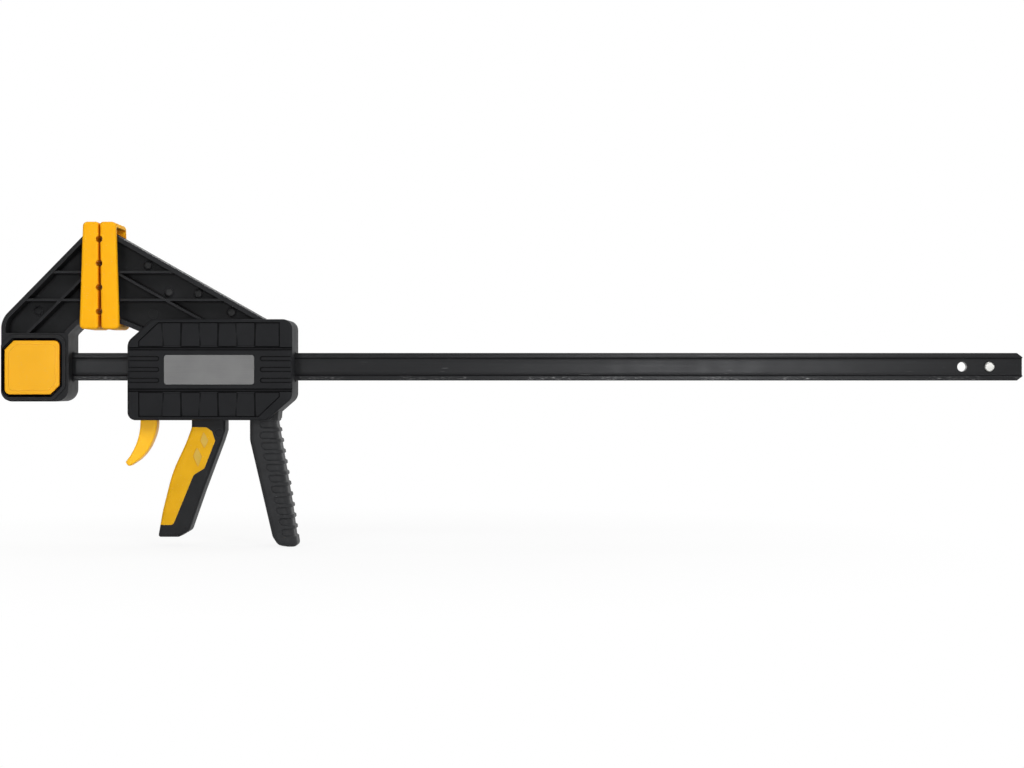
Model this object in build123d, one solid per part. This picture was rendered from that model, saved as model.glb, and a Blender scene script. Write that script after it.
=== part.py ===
from build123d import *
import os
from math import cos, radians, sin, tan

# Quick release bar clamp, in millimetres.
# +X runs along the bar from the fixed jaw to the free end, -Y is the front, +Z is up.
# The origin is on the bar's centre line, in the plane where the two jaw pads meet.

# ---------------------------------------------------------------- bar
bar_height = 20.0
bar_thickness = 8.0
bar_web = 5.0
bar_flange = 3.8
bar_length = 730.0
bar_corner_run = 4.0
bar_corner_rise = 3.0
cross_hole_d = 7.0
lock_hole_inset = 15.2
stop_pin_inset = 23.9
spread_hole_inset = 43.4
stop_pin_proud = 1.0
stop_pin_chamfer = 0.6

# ---------------------------------------------------------------- fits
slide_fit = 0.3
pin_fit = 0.05
seat_fit = 0.2
moving_gap = 0.5

# ---------------------------------------------------------------- both jaws
jaw_thickness = 32.0
jaw_wall = 3.0
jaw_web = 5.0
rib_thickness = 1.6
rib_drop = 0.6
disc_d = 7.2
disc_height = 0.4
rib_angle_deg = 45.0
low_rib_z = 48.0
high_rib_z = 68.0
fixed_brace_z = 5.5
arm_brace_z = 71.6

# ---------------------------------------------------------------- jaw pads
pad_bottom = 27.0
pad_top = 104.0
pad_wall = 3.8
pad_depth = 40.0
pad_wrap_top = 11.8
pad_wrap_bottom = 14.4
pad_face_gap = 0.1
pad_corner_r = 3.0
pad_edge_r = 1.2
pad_notch_d = 4.3
pad_notch_count = 4
pad_notch_first = 12.5
pad_notch_pitch = 17.3

# ---------------------------------------------------------------- fixed jaw
jaw_overhang = 22.8
lock_setback = 26.0
block_back = 22.3
block_bottom = -25.1
throat_corner_z = 23.5
fixed_slant_foot = 34.0
fixed_slant_deg = 45.6
fixed_slant_r = 16.0
block_front_r = 9.0
block_back_r = 8.0
bezel_width = 3.2
bezel_proud = 1.0
bezel_top_z = 24.1

# ---------------------------------------------------------------- push button and its lock
button_width = 40.2
button_height = 39.5
button_center_z = -0.65
button_corner_r = 3.2
button_chamfer = 6.8
button_gap = 0.5
button_proud = 0.6
button_top = 3.0
button_wall = 2.2
button_depth = 6.4
button_edge_r = 0.9
socket_wall = 2.0
leg_wall = 1.4
yoke_width = 8.0
yoke_leg = 2.4
yoke_plate = 2.0
lock_pin_d = 6.4
lock_pin_reach = 1.7
button_travel = 4.5
cap_border = 4.0
button_spring_d = 14.0
button_spring_wire = 1.0
button_spring_turns = 3.0

# ---------------------------------------------------------------- moving jaw arm
arm_wall = 3.2
arm_slope_deg = 29.6
arm_top_edge_z = 98.7
arm_low_run = 10.5
arm_low_deg = 22.9
arm_heel_x = 118.5
arm_root = 9.0

# ---------------------------------------------------------------- housing covers
housing_left = 20.3
housing_length = 118.2
housing_bottom = -38.5
housing_top = 34.0
housing_thickness = 42.0
cover_wall = 3.0
cover_face = 3.5
cover_edge_r = 2.0
top_chamfer_run = 18.0
top_chamfer_rise = 16.1
low_chamfer_run = 18.2
low_chamfer_rise = 15.8
panel_side_in = 8.0
panel_edge_in = 2.2
panel_right_in = 8.8
panel_corner_r = 0.5
panel_top_run = 14.0
panel_top_rise = 13.5
panel_low_run = 15.2
panel_low_rise = 3.6
band_top = 11.5
band_bottom = -15.7
band_gap = 2.5
band_gap_depth = 1.6
groove_width = 0.8
groove_depth = 0.7
tile_width = 13.24
tile_first = 25.4
tile_count = 7
tile_tilt = 0.8
pill_height = 3.8
pill_pitch = 7.8
pill_count = 3
pill_length = 23.2
pill_depth = 0.6
label_width = 64.4
label_height = 21.1
label_thickness = 0.7
label_recess = 0.9
label_r = 2.0
label_center_z = -2.3

# ---------------------------------------------------------------- core inside the covers
front_bulkhead = 7.5
lever_bulkhead = 2.2
ledge_depth = 2.6
ledge_below = 1.5
brake_chamber_top = 22.0
middle_bulkhead_left = 29.7
middle_bulkhead = 4.0
drive_chamber_right = 95.7
drive_chamber_top = 27.0
plate_chamber_top = 20.0
plate_chamber_bottom = -25.0
plate_chamber_left = 67.7

# ---------------------------------------------------------------- grip
grip_thickness = 29.0
grip_front_x = 107.0
grip_knee_z = -52.8
grip_toe_x = 123.1
grip_toe_z = -121.5
grip_bottom_z = -130.2
grip_heel_x = 141.6
grip_back_top_x = 127.2
grip_back_top_z = -40.0
grip_edge_r = 3.0
scoop_count = 11
scoop_first_z = -41.5
scoop_pitch = 7.8
scoop_height = 4.8
scoop_depth = 1.2
scoop_inset = 6.9

# ---------------------------------------------------------------- trigger
pivot_x = 77.5
pivot_z = 20.0
pivot_pin_d = 5.0
pivot_boss_d = 10.0
eye_r = 6.3
trigger_thickness = 21.0
fork_slot = 10.0
trigger_edge_r = 2.6
fork_floor_z = -18.0
trigger_mouth = 14.5
nose_x = 88.7
nose_z = -14.0
trigger_waist_z = -44.0
trigger_length = 79.0
trigger_lean = 37.1
inlay_thickness = 1.5
dimple_d = 5.8
dimple_depth = 0.6

# ---------------------------------------------------------------- drive plates and spring
drive_plate = 3.0
drive_plate_width = 24.0
drive_plate_height = 34.0
drive_nose_gap = 0.3
drive_spring_d = 24.2
drive_spring_wire = 1.6
drive_spring_turns = 4.5

# ---------------------------------------------------------------- brake plates, spring and release lever
brake_plate = 2.0
brake_plate_width = 24.0
brake_tilt_deg = 6.0
brake_swing_deg = 8.0
brake_bead_d = 3.0
brake_hinge_z = 18.0
brake_plate_above = 3.0
brake_plate_below = 37.0
brake_slot = 21.2
brake_tang_width = 8.0
brake_tang_length = 26.0
brake_spring_d = 6.0
brake_spring_wire = 0.9
brake_spring_turns = 6.0
brake_spring_z = -14.6
lever_thickness = 12.0
lever_edge_r = 1.6
lever_top_z = -24.0
lever_length = 48.4
lever_width = 18.7

# ---------------------------------------------------------------- screws
screw_d = 3.4
screw_hole_d = 3.6
screw_head_d = 6.6
screw_head_hole_d = 7.2
screw_head_height = 2.2
screw_head_depth = 3.0
screw_tip_wall = 2.5
screw_slot = 1.0
screw_edge = 4.7
beam_screw_setback = 14.0
floor_boss_rise = 7.0
boss_d = 8.0

# ---------------------------------------------------------------- places worked out from the sizes
block_face_x = -jaw_overhang
lock_x = block_face_x - lock_setback
jaw_back_x = lock_x - block_back
bar_left_x = lock_x - lock_hole_inset
bar_right_x = bar_left_x + bar_length
stop_pin_x = bar_right_x - stop_pin_inset
spread_hole_x = bar_right_x - spread_hole_inset

bar_slot_height = bar_height + 2 * slide_fit
bar_slot_width = bar_thickness + 2 * slide_fit
jaw_half = jaw_thickness / 2
tip_x = pad_face_gap + pad_wall + seat_fit
tip_bottom = pad_bottom + pad_wall + seat_fit
tip_top = pad_top - pad_wall - seat_fit

housing_right = housing_left + housing_length
housing_half = housing_thickness / 2
core_half = housing_half - cover_face
button_front_y = -jaw_half - bezel_proud - button_proud
button_floor_y = -bar_slot_width / 2 - socket_wall
yoke_floor_y = bar_slot_width / 2 + socket_wall
yoke_plate_y = yoke_floor_y + slide_fit
cap_inner_y = yoke_plate_y + yoke_plate + button_travel + slide_fit
yoke_leg_z = bar_slot_height / 2 + leg_wall + slide_fit
drive_plate_x = nose_x + drive_nose_gap
drive_spring_x = drive_plate_x + 2 * drive_plate
drive_seat_x = housing_left + drive_chamber_right
bulkhead_face_x = housing_left + cover_wall + seat_fit + front_bulkhead
ledge_x = bulkhead_face_x + ledge_depth
brake_hinge_x = ledge_x
brake_face_gap = brake_bead_d / 2 + slide_fit
middle_left_x = housing_left + middle_bulkhead_left
middle_right_x = middle_left_x + middle_bulkhead


# ---------------------------------------------------------------- drawing helpers
def outline(corners):
    """A face in the XZ plane from corners of x, z and corner radius."""
    points = [(x, z) for x, z, r in corners]
    radii = [r for x, z, r in corners]
    return make_face(FilletPolyline(*points, radius=radii, close=True))


def prism(face, y_front, y_back):
    """An XZ face made solid from y_front to y_back."""
    return extrude(Plane.XZ.offset(-y_back) * face, amount=y_back - y_front)


def block(x_low, x_high, y_low, y_high, z_low, z_high):
    centre = ((x_low + x_high) / 2, (y_low + y_high) / 2, (z_low + z_high) / 2)
    return Pos(*centre) * Box(x_high - x_low, y_high - y_low, z_high - z_low)


def area(x_low, x_high, z_low, z_high):
    """A rectangle in the XZ plane."""
    return Pos((x_low + x_high) / 2, (z_low + z_high) / 2) * Rectangle(x_high - x_low, z_high - z_low)


def cross_pin(x, z, diameter, y_low, y_high):
    """A round bar along Y."""
    return Pos(x, (y_low + y_high) / 2, z) * Rot(90, 0, 0) * Cylinder(diameter / 2, y_high - y_low)


def coil(diameter, wire, length, turns):
    """A spring wire along +Z that fills the stated length."""
    path = Helix(pitch=(length - 1.1 * wire) / turns, height=length - 1.1 * wire, radius=diameter / 2)
    section = Plane(origin=path @ 0, z_dir=path % 0) * Circle(wire / 2)
    return Pos(0, 0, 0.55 * wire) * sweep(section, path=path, is_frenet=True)


def strip(x, z, angle_deg, length, width):
    """A long thin rectangle in the XZ plane that starts at x, z and runs at an angle above +X."""
    return Pos(x, z) * Rot(0, 0, angle_deg) * Pos(length / 2, 0) * Rectangle(length, width)


# ---------------------------------------------------------------- bar
def make_bar():
    run, rise, half = bar_corner_run, bar_corner_rise, bar_height / 2
    side = outline([
        (bar_left_x + run, -half, 0), (bar_right_x - run, -half, 0),
        (bar_right_x, -half + rise, 0), (bar_right_x, half - rise, 0),
        (bar_right_x - run, half, 0), (bar_left_x + run, half, 0),
        (bar_left_x, half - rise, 0), (bar_left_x, -half + rise, 0)])
    bar = prism(side, -bar_thickness / 2, bar_thickness / 2)
    web_half = bar_height / 2 - bar_flange
    for y_low, y_high in ((-bar_thickness, -bar_web / 2), (bar_web / 2, bar_thickness)):
        bar -= block(bar_left_x - 1, bar_right_x + 1, y_low, y_high, -web_half, web_half)
    for x in (lock_x, stop_pin_x, spread_hole_x):
        bar -= cross_pin(x, 0, cross_hole_d, -bar_thickness, bar_thickness)
    return bar


def make_stop_pin():
    half = bar_thickness / 2 + stop_pin_proud
    pin = cross_pin(stop_pin_x, 0, cross_hole_d - 2 * pin_fit, -half, half)
    return chamfer(pin.edges().filter_by(GeomType.CIRCLE), stop_pin_chamfer)


# ---------------------------------------------------------------- fixed jaw
def fixed_jaw_outline():
    underside_x = block_face_x + tip_bottom - throat_corner_z
    slant_top_x = jaw_back_x + (tip_top - fixed_slant_foot) / tan(radians(fixed_slant_deg))
    return outline([
        (jaw_back_x, block_bottom, block_back_r), (block_face_x, block_bottom, block_front_r),
        (block_face_x, throat_corner_z, 3), (underside_x, tip_bottom, 2),
        (-tip_x, tip_bottom, 0), (-tip_x, tip_top, 0),
        (slant_top_x, tip_top, 0), (jaw_back_x, fixed_slant_foot, fixed_slant_r)])


def button_outline():
    """The button's face: square with two opposite corners cut off."""
    left, right = lock_x - button_width / 2, lock_x + button_width / 2
    low, high = button_center_z - button_height / 2, button_center_z + button_height / 2
    return outline([
        (left, low, button_corner_r), (right - button_chamfer, low, 1.5),
        (right, low + button_chamfer, 1.5), (right, high, button_corner_r),
        (left + button_chamfer, high, 1.5), (left, high - button_chamfer, 1.5)])


def yoke_legs(width, gap, y_low, y_high):
    """Two flat legs, above and below the bar."""
    inner, outer = yoke_leg_z - gap, yoke_leg_z + yoke_leg + gap
    legs = block(lock_x - width / 2, lock_x + width / 2, y_low, y_high, inner, outer)
    return legs + block(lock_x - width / 2, lock_x + width / 2, y_low, y_high, -outer, -inner)


def cap_outline(gap):
    half_z = yoke_leg_z + yoke_leg + slide_fit + cap_border
    half_x = yoke_width / 2 + slide_fit + 2 * cap_border
    return offset(Pos(lock_x, 0) * RectangleRounded(2 * half_x, 2 * half_z, 3), amount=gap)


def fixed_jaw_ribs(inside):
    ribs = area(jaw_back_x, 0, low_rib_z - rib_thickness / 2, low_rib_z + rib_thickness / 2)
    ribs += area(jaw_back_x, 0, high_rib_z - rib_thickness / 2, high_rib_z + rib_thickness / 2)
    ribs += strip(jaw_back_x, fixed_brace_z, rib_angle_deg, pad_top - block_bottom, rib_thickness)
    return ribs & inside


def web_discs(places):
    """Round marks left by the mould on both faces of a jaw's web."""
    half = jaw_web / 2 + disc_height
    return [cross_pin(x, z, disc_d, -half, half) for x, z in places]


def make_fixed_jaw():
    whole = fixed_jaw_outline()
    jaw = prism(whole, -jaw_half, jaw_half)
    above = area(jaw_back_x - 1, 1, bezel_top_z, pad_top)
    pocket = offset(whole, amount=-jaw_wall, kind=Kind.INTERSECTION) & above
    jaw -= prism(pocket, -jaw_half - 1, -jaw_web / 2) + prism(pocket, jaw_web / 2, jaw_half + 1)
    jaw += prism(fixed_jaw_ribs(pocket), -jaw_half + rib_drop, jaw_half - rib_drop)
    jaw += web_discs([(lock_x + 1.2, low_rib_z - 7.6)])
    bezel = offset(button_outline(), amount=button_gap + bezel_width) & whole
    jaw += prism(bezel, -jaw_half - bezel_proud, -jaw_half + 1)
    jaw -= prism(offset(button_outline(), amount=button_gap), -jaw_half - bezel_proud - 1, button_floor_y)
    jaw -= block(jaw_back_x - 1, block_face_x + 1, -bar_slot_width / 2, bar_slot_width / 2,
                 -bar_slot_height / 2, bar_slot_height / 2)
    jaw -= yoke_legs(yoke_width + 2 * slide_fit, slide_fit, button_floor_y - 1, yoke_floor_y + 1)
    room_z = yoke_leg_z + yoke_leg + slide_fit
    room_x = yoke_width / 2 + slide_fit + cap_border / 2
    jaw -= block(lock_x - room_x, lock_x + room_x, yoke_floor_y, jaw_half + 1, -room_z, room_z)
    jaw -= prism(cap_outline(seat_fit), cap_inner_y, jaw_half + 1)
    jaw -= cross_pin(lock_x, 0, lock_pin_d + 2 * slide_fit, 0, yoke_floor_y + 1)
    return jaw


def make_push_button():
    shape = button_outline()
    back_y = button_front_y + button_depth
    button = prism(shape, button_front_y, back_y)
    button = fillet(button.faces().sort_by(Axis.Y)[0].outer_wire().edges(), button_edge_r)
    inner = offset(shape, amount=-button_wall, kind=Kind.INTERSECTION)
    return button - prism(inner, button_front_y + button_top, back_y + 1)


def make_lock_yoke():
    under_button_y = button_front_y + button_top
    yoke = yoke_legs(yoke_width, 0, under_button_y, yoke_plate_y + yoke_plate)
    outer = yoke_leg_z + yoke_leg
    yoke += block(lock_x - yoke_width / 2, lock_x + yoke_width / 2,
                  yoke_plate_y, yoke_plate_y + yoke_plate, -outer, outer)
    pin = cross_pin(lock_x, 0, lock_pin_d, -lock_pin_reach, yoke_plate_y + yoke_plate / 2)
    return yoke + pin


def make_button_spring():
    under_button_y = button_front_y + button_top
    spring = coil(button_spring_d, button_spring_wire, button_floor_y - under_button_y, button_spring_turns)
    return Pos(lock_x, under_button_y, 0) * Rot(-90, 0, 0) * spring


def make_lock_cap():
    return prism(cap_outline(0), cap_inner_y, jaw_half)


# ---------------------------------------------------------------- jaw pads
def pad_outline(side):
    """The cup's front view; side is -1 for the fixed jaw and +1 for the moving jaw."""
    corners = [
        (pad_face_gap, pad_bottom, 1), (pad_wrap_bottom, pad_bottom, pad_corner_r),
        (pad_wrap_top, pad_top, pad_corner_r), (pad_face_gap, pad_top, 1)]
    return outline([(side * x, z, r) for x, z, r in corners])


def make_pad(side):
    pad = prism(pad_outline(side), -pad_depth / 2, pad_depth / 2)
    pad = fillet(pad.faces().filter_by(Axis.Y).edges(), pad_edge_r)
    reach = side * (pad_wrap_bottom + 1)
    inner_x = side * (tip_x - seat_fit)
    half = jaw_half + seat_fit
    pad -= block(min(inner_x, reach), max(inner_x, reach), -half, half,
                 tip_bottom - seat_fit, tip_top + seat_fit)
    for i in range(pad_notch_count):
        z = pad_bottom + pad_notch_first + i * pad_notch_pitch
        pad -= cross_pin(0, z, pad_notch_d, -pad_depth, pad_depth)
    return pad


# ---------------------------------------------------------------- moving jaw, core and grip
def housing_outline():
    left, right = housing_left, housing_right
    return outline([
        (left, housing_bottom, 5.7), (right - low_chamfer_run, housing_bottom, 6),
        (right, housing_bottom + low_chamfer_rise, 8), (right, housing_top, 7),
        (left + top_chamfer_run, housing_top, 8), (left, housing_top - top_chamfer_rise, 8)])


def arm_outline():
    low_x = tip_x + arm_low_run
    heel_z = arm_top_edge_z - (arm_heel_x - tip_x) * tan(radians(arm_slope_deg))
    root_x = housing_left + cover_wall + seat_fit + arm_root
    return outline([
        (tip_x, tip_bottom, 0), (low_x, tip_bottom, 3),
        (root_x, tip_bottom - (root_x - low_x) * tan(radians(arm_low_deg)), 0),
        (root_x, 0, 0), (arm_heel_x, 0, 0), (arm_heel_x, heel_z, 0), (tip_x, arm_top_edge_z, 0)])


def core_outline():
    return offset(housing_outline(), amount=-cover_wall - seat_fit, kind=Kind.INTERSECTION)


def grip_corners(back_in):
    """The grip's side view; back_in moves its back edge in, for the floor of the scoops."""
    return [
        (grip_front_x, housing_bottom + 12, 0), (grip_front_x, grip_knee_z, 12),
        (grip_toe_x, grip_toe_z, 9), (grip_toe_x + 4.2, grip_bottom_z + 1.0, 4),
        (grip_heel_x - back_in, grip_bottom_z, 2.5),
        (grip_heel_x - 1.2 - back_in, grip_toe_z - 3, 20),
        (grip_heel_x - 4.0 - back_in, grip_toe_z + 20, 60),
        (grip_back_top_x - back_in, grip_back_top_z, 10),
        (grip_back_top_x + 1.2 - back_in, housing_bottom + 12, 0)]


def make_grip():
    half = grip_thickness / 2
    grip = prism(outline(grip_corners(0)), -half, half)
    rims = grip.faces().sort_by(Axis.Y)[0].outer_wire().edges()
    rims += grip.faces().sort_by(Axis.Y)[-1].outer_wire().edges()
    rims = [e for e in rims if e.center().Z < housing_bottom + 11]
    grip = fillet(rims, grip_edge_r)
    floor_half = half - scoop_depth
    floor_core = prism(outline(grip_corners(scoop_depth)), -floor_half, floor_half)
    scoops = []
    for i in range(scoop_count):
        z = scoop_first_z - i * scoop_pitch
        start = grip_front_at(z) + scoop_inset
        slot = area(start + scoop_height / 2, grip_heel_x + 8, z - scoop_height / 2, z + scoop_height / 2)
        slot += Pos(start + scoop_height / 2, z) * Circle(scoop_height / 2)
        scoops.append(prism(slot, -half - 1, half + 1) - floor_core)
    return grip - scoops


def grip_front_at(z):
    """Where the grip's front edge lies at a height: upright above its knee, sloped below it."""
    below_knee = max(0, grip_knee_z - z)
    return grip_front_x + below_knee * (grip_toe_x - grip_front_x) / (grip_knee_z - grip_toe_z)


def screw_places():
    """Screw centres: two in the tail block, two above the chambers, one in the covers' own bosses."""
    tail_x = (drive_seat_x + housing_right - cover_wall) / 2
    front_x = (bulkhead_face_x + middle_left_x) / 2
    beam_z = housing_top - cover_wall - screw_edge
    return {
        "tail_high": (tail_x, beam_z - screw_edge / 2), "tail_low": (tail_x - boss_d / 2, -bar_height / 2 - boss_d),
        "beam_front": (front_x, beam_z), "beam_back": (drive_seat_x - beam_screw_setback, beam_z),
        "floor": (middle_right_x + boss_d / 2 + moving_gap, housing_bottom + cover_wall + floor_boss_rise)}


def core_chambers():
    """The open rooms between the bulkheads, seen from the front."""
    floor = housing_bottom - 1
    lever_x = housing_left + cover_wall + lever_bulkhead
    ledge_low_z = brake_hinge_z - ledge_below
    rooms = area(bulkhead_face_x, middle_left_x, floor, ledge_low_z)
    rooms += area(ledge_x, middle_left_x, ledge_low_z - 1, brake_chamber_top)
    rooms += area(lever_x, middle_left_x, floor, -bar_slot_height / 2 - lever_bulkhead)
    rooms += area(middle_right_x, housing_left + plate_chamber_left, floor, drive_chamber_top)
    rooms += area(middle_right_x, drive_seat_x, plate_chamber_bottom, plate_chamber_top)
    rooms += area(middle_right_x, grip_front_x - moving_gap, floor, 0)
    return rooms


def make_moving_jaw_body():
    arm = arm_outline()
    core = core_outline()
    body = prism(arm, -jaw_half, jaw_half)
    inside = offset(arm, amount=-arm_wall, kind=Kind.INTERSECTION)
    pocket = inside & area(tip_x, arm_heel_x, -1, pad_top)
    pocket -= core
    body -= prism(pocket, -jaw_half - 1, -jaw_web / 2) + prism(pocket, jaw_web / 2, jaw_half + 1)
    ribs = area(0, arm_heel_x, low_rib_z - rib_thickness / 2, low_rib_z + rib_thickness / 2)
    ribs += area(0, arm_heel_x, high_rib_z - rib_thickness / 2, high_rib_z + rib_thickness / 2)
    ribs += strip(tip_x, arm_brace_z, -arm_slope_deg + 0.5, arm_heel_x, rib_thickness)
    body += prism(ribs & pocket, -jaw_half + rib_drop, jaw_half - rib_drop)
    body += web_discs([
        (tip_x + 27.8, high_rib_z + 5.5), (tip_x + 43.0, low_rib_z + 6.0),
        (tip_x + 64.4, low_rib_z + 5.2), (tip_x + 88.4, low_rib_z - 8.6), (tip_x + 31.8, low_rib_z - 9.6)])
    body += prism(core, -core_half, core_half)
    body += make_grip()
    body -= prism(core_chambers(), -core_half - 1, core_half + 1)
    body += cross_pin(brake_hinge_x, brake_hinge_z, brake_bead_d, -core_half, core_half)
    body -= block(housing_left - 1, housing_right + 1, -bar_slot_width / 2, bar_slot_width / 2,
                  -bar_slot_height / 2, bar_slot_height / 2)
    for name, (x, z) in screw_places().items():
        if name != "floor":
            body -= cross_pin(x, z, screw_hole_d, -core_half - 1, core_half + 1)
    return body


# ---------------------------------------------------------------- covers
def panel_outline(upper):
    """The tiled field above or below the band; one corner follows the housing's chamfer."""
    left, right, r = housing_left + panel_side_in, housing_right - panel_right_in, panel_corner_r
    if upper:
        low, high = band_top + band_gap, housing_top - panel_edge_in
        return outline([
            (left, low, r), (right, low, r), (right, high, r),
            (left + panel_top_run, high, r), (left, high - panel_top_rise, r)])
    low, high = housing_bottom + panel_edge_in, band_bottom - band_gap
    return outline([
        (left, low, r), (right - panel_low_run, low, r),
        (right, high - panel_low_rise, r), (right, high, r), (left, high, r)])


def tile_cuts(upper, y_face, out):
    """Wedges that tilt the tiles, each the other way than its neighbour."""
    cuts = []
    field = offset(panel_outline(upper), amount=-groove_width, kind=Kind.INTERSECTION)
    box = field.bounding_box()
    low, high = box.min.Y, box.max.Y
    edges = [box.min.X]
    edges += [housing_left + tile_first + i * tile_width for i in range(tile_count - 1)]
    edges += [box.max.X]
    for i in range(tile_count):
        deep_at_top = (i % 2 == 0) == upper
        deep_z, flush_z = (high, low) if deep_at_top else (low, high)
        wedge = make_face(Polyline(
            (y_face - out, deep_z), (y_face - out, flush_z), (y_face, flush_z),
            (y_face + out * tile_tilt, deep_z), close=True))
        wedge = extrude(Plane.YZ.offset(edges[i]) * wedge, amount=edges[i + 1] - edges[i])
        cuts.append(wedge & prism(field, y_face - 3, y_face + 3))
    return cuts


def face_grooves(y_face, out):
    """Everything sunk into a cover's face; out is +1 where the body lies towards +Y."""
    def sunk(face, depth):
        y_in = y_face + out * depth
        return prism(face, min(y_face - out, y_in), max(y_face - out, y_in))

    cuts = []
    for upper in (True, False):
        field = panel_outline(upper)
        inner = offset(field, amount=-groove_width, kind=Kind.INTERSECTION)
        cuts.append(sunk(field - inner, groove_depth))
        cuts += tile_cuts(upper, y_face, out)
    for z_low in (band_top, band_bottom - band_gap):
        cuts.append(sunk(area(housing_left - 1, housing_right + 1, z_low, z_low + band_gap), band_gap_depth))
    middle = (band_top + band_bottom) / 2
    for i in range(pill_count):
        z = middle + (i - (pill_count - 1) / 2) * pill_pitch
        left = area(housing_left - 1, housing_left + pill_length - pill_height / 2,
                    z - pill_height / 2, z + pill_height / 2)
        left += Pos(housing_left + pill_length - pill_height / 2, z) * Circle(pill_height / 2)
        cuts.append(sunk(left, pill_depth))
        right = area(housing_right - pill_length + pill_height / 2, housing_right + 1,
                     z - pill_height / 2, z + pill_height / 2)
        right += Pos(housing_right - pill_length + pill_height / 2, z) * Circle(pill_height / 2)
        cuts.append(sunk(right, pill_depth))
    seat = Pos(label_center_x(), label_center_z) * RectangleRounded(
        label_width + 2 * seat_fit, label_height + 2 * seat_fit, label_r + seat_fit)
    cuts.append(sunk(seat, label_recess))
    return cuts


def label_center_x():
    return (housing_left + housing_right) / 2 - 0.4


def cover_openings():
    """Room in the covers' walls for what leaves the housing."""
    y = core_half
    arm = offset(arm_outline(), amount=seat_fit, kind=Kind.INTERSECTION) & area(0, 200, 5, pad_top)
    grip = offset(outline(grip_corners(0)), amount=seat_fit, kind=Kind.INTERSECTION)
    cut = prism(arm, -y, y) + prism(grip, -y, y)
    lever_x = housing_left + cover_wall + lever_bulkhead
    cut += block(lever_x, middle_left_x - 1, -y, y, housing_bottom - 1, housing_bottom + cover_wall + 1)
    cut += block(pivot_x - trigger_mouth, grip_front_x, -y, y, housing_bottom - 1, housing_bottom + cover_wall + 1)
    cut += block(housing_left - 1, housing_right + 1, -bar_slot_width / 2, bar_slot_width / 2,
                 -bar_slot_height / 2, bar_slot_height / 2)
    return cut


def make_cover(front):
    out = 1 if front else -1
    y_face = -housing_half * out
    y_inner = -core_half * out
    cover = prism(housing_outline(), min(y_face, 0), max(y_face, 0))
    face = cover.faces().sort_by(Axis.Y)[0 if front else -1]
    cover = fillet(face.outer_wire().edges(), cover_edge_r)
    inner = offset(housing_outline(), amount=-cover_wall, kind=Kind.INTERSECTION)
    cover -= prism(inner, min(y_inner, out), max(y_inner, out))
    cover -= cover_openings()
    boss_y = -(trigger_thickness / 2 + moving_gap) * out
    cover += cross_pin(pivot_x, pivot_z, pivot_boss_d, min(y_inner, boss_y), max(y_inner, boss_y))
    pin_end = (pivot_pin_length() / 2 + pin_fit) * -out
    cover -= cross_pin(pivot_x, pivot_z, pivot_pin_d + 2 * pin_fit, min(pin_end, boss_y), max(pin_end, boss_y))
    floor_x, floor_z = screw_places()["floor"]
    cover += cross_pin(floor_x, floor_z, boss_d, min(y_inner, 0), max(y_inner, 0))
    for x, z in screw_places().values():
        cover -= cross_pin(x, z, screw_hole_d, -housing_half + screw_tip_wall, housing_half + 1)
        if not front:
            cover -= cross_pin(x, z, screw_head_hole_d, housing_half - screw_head_depth, housing_half + 1)
    for cut in face_grooves(y_face, out):
        cover -= cut
    return cover


def make_label_plate(front):
    plate = Pos(label_center_x(), label_center_z) * RectangleRounded(label_width, label_height, label_r)
    y_low = -housing_half + label_recess - label_thickness
    y_high = -housing_half + label_recess
    if front:
        return prism(plate, y_low, y_high)
    return prism(plate, -y_high, -y_low)


def make_cover_screws():
    """Long pan-head screws with a crossed recess, put in from the back."""
    seat_y = housing_half - screw_head_depth
    screws = []
    for x, z in screw_places().values():
        screw = cross_pin(x, z, screw_d, -housing_half + screw_tip_wall + seat_fit, seat_y)
        head = cross_pin(x, z, screw_head_d, seat_y, seat_y + screw_head_height)
        head = fillet(head.edges().filter_by(GeomType.CIRCLE).sort_by(Axis.Y)[-1], 0.8)
        top = seat_y + screw_head_height
        for width, height in ((screw_slot, 3.6), (3.6, screw_slot)):
            head -= block(x - width / 2, x + width / 2, top - 1.2, top + 1, z - height / 2, z + height / 2)
        screws.append(screw + head)
    return Compound(children=screws)


# ---------------------------------------------------------------- trigger
def on_trigger(across, down, r=0):
    """A corner in shares of the trigger's lean, from its pivot, and of its length, below its waist."""
    return (pivot_x + across * trigger_lean, trigger_waist_z - down * trigger_length, r)


def trigger_outline():
    """The trigger's side view: eye, fork, nose, throat and finger lever."""
    return outline([
        (pivot_x - eye_r, pivot_z, 0), on_trigger(-0.235, -0.443, 6), on_trigger(-0.351, -0.177, 4),
        on_trigger(-0.348, 0, 10), on_trigger(-0.470, 0.152, 60), on_trigger(-0.722, 0.405, 90),
        on_trigger(-0.912, 0.759, 100), on_trigger(-1, 1, 1.5), on_trigger(-0.594, 1, 4),
        on_trigger(-0.392, 0.943, 4), on_trigger(-0.124, 0.582, 30), on_trigger(0.249, 0.114, 6),
        on_trigger(0.307, 0.025, 4), on_trigger(0.307, -0.101, 3), on_trigger(0.193, -0.215, 3),
        on_trigger(0.193, -0.316, 3), (nose_x, nose_z - 2.5, 2), (nose_x, nose_z + 2.5, 2),
        (pivot_x + eye_r, 2, 8), (pivot_x + eye_r, pivot_z, 0)])


def inlay_outline():
    """The soft inlay's border on the trigger's side; it runs out past the finger edge."""
    return outline([
        on_trigger(-1.243, -0.015), on_trigger(-0.055, -0.003, 3), on_trigger(0.055, 0.032, 2),
        on_trigger(0.116, 0.120, 2), on_trigger(-0.094, 0.372, 2), on_trigger(-0.304, 0.433, 4),
        on_trigger(-0.702, 0.889, 3), on_trigger(-1.243, 0.889)])


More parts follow.
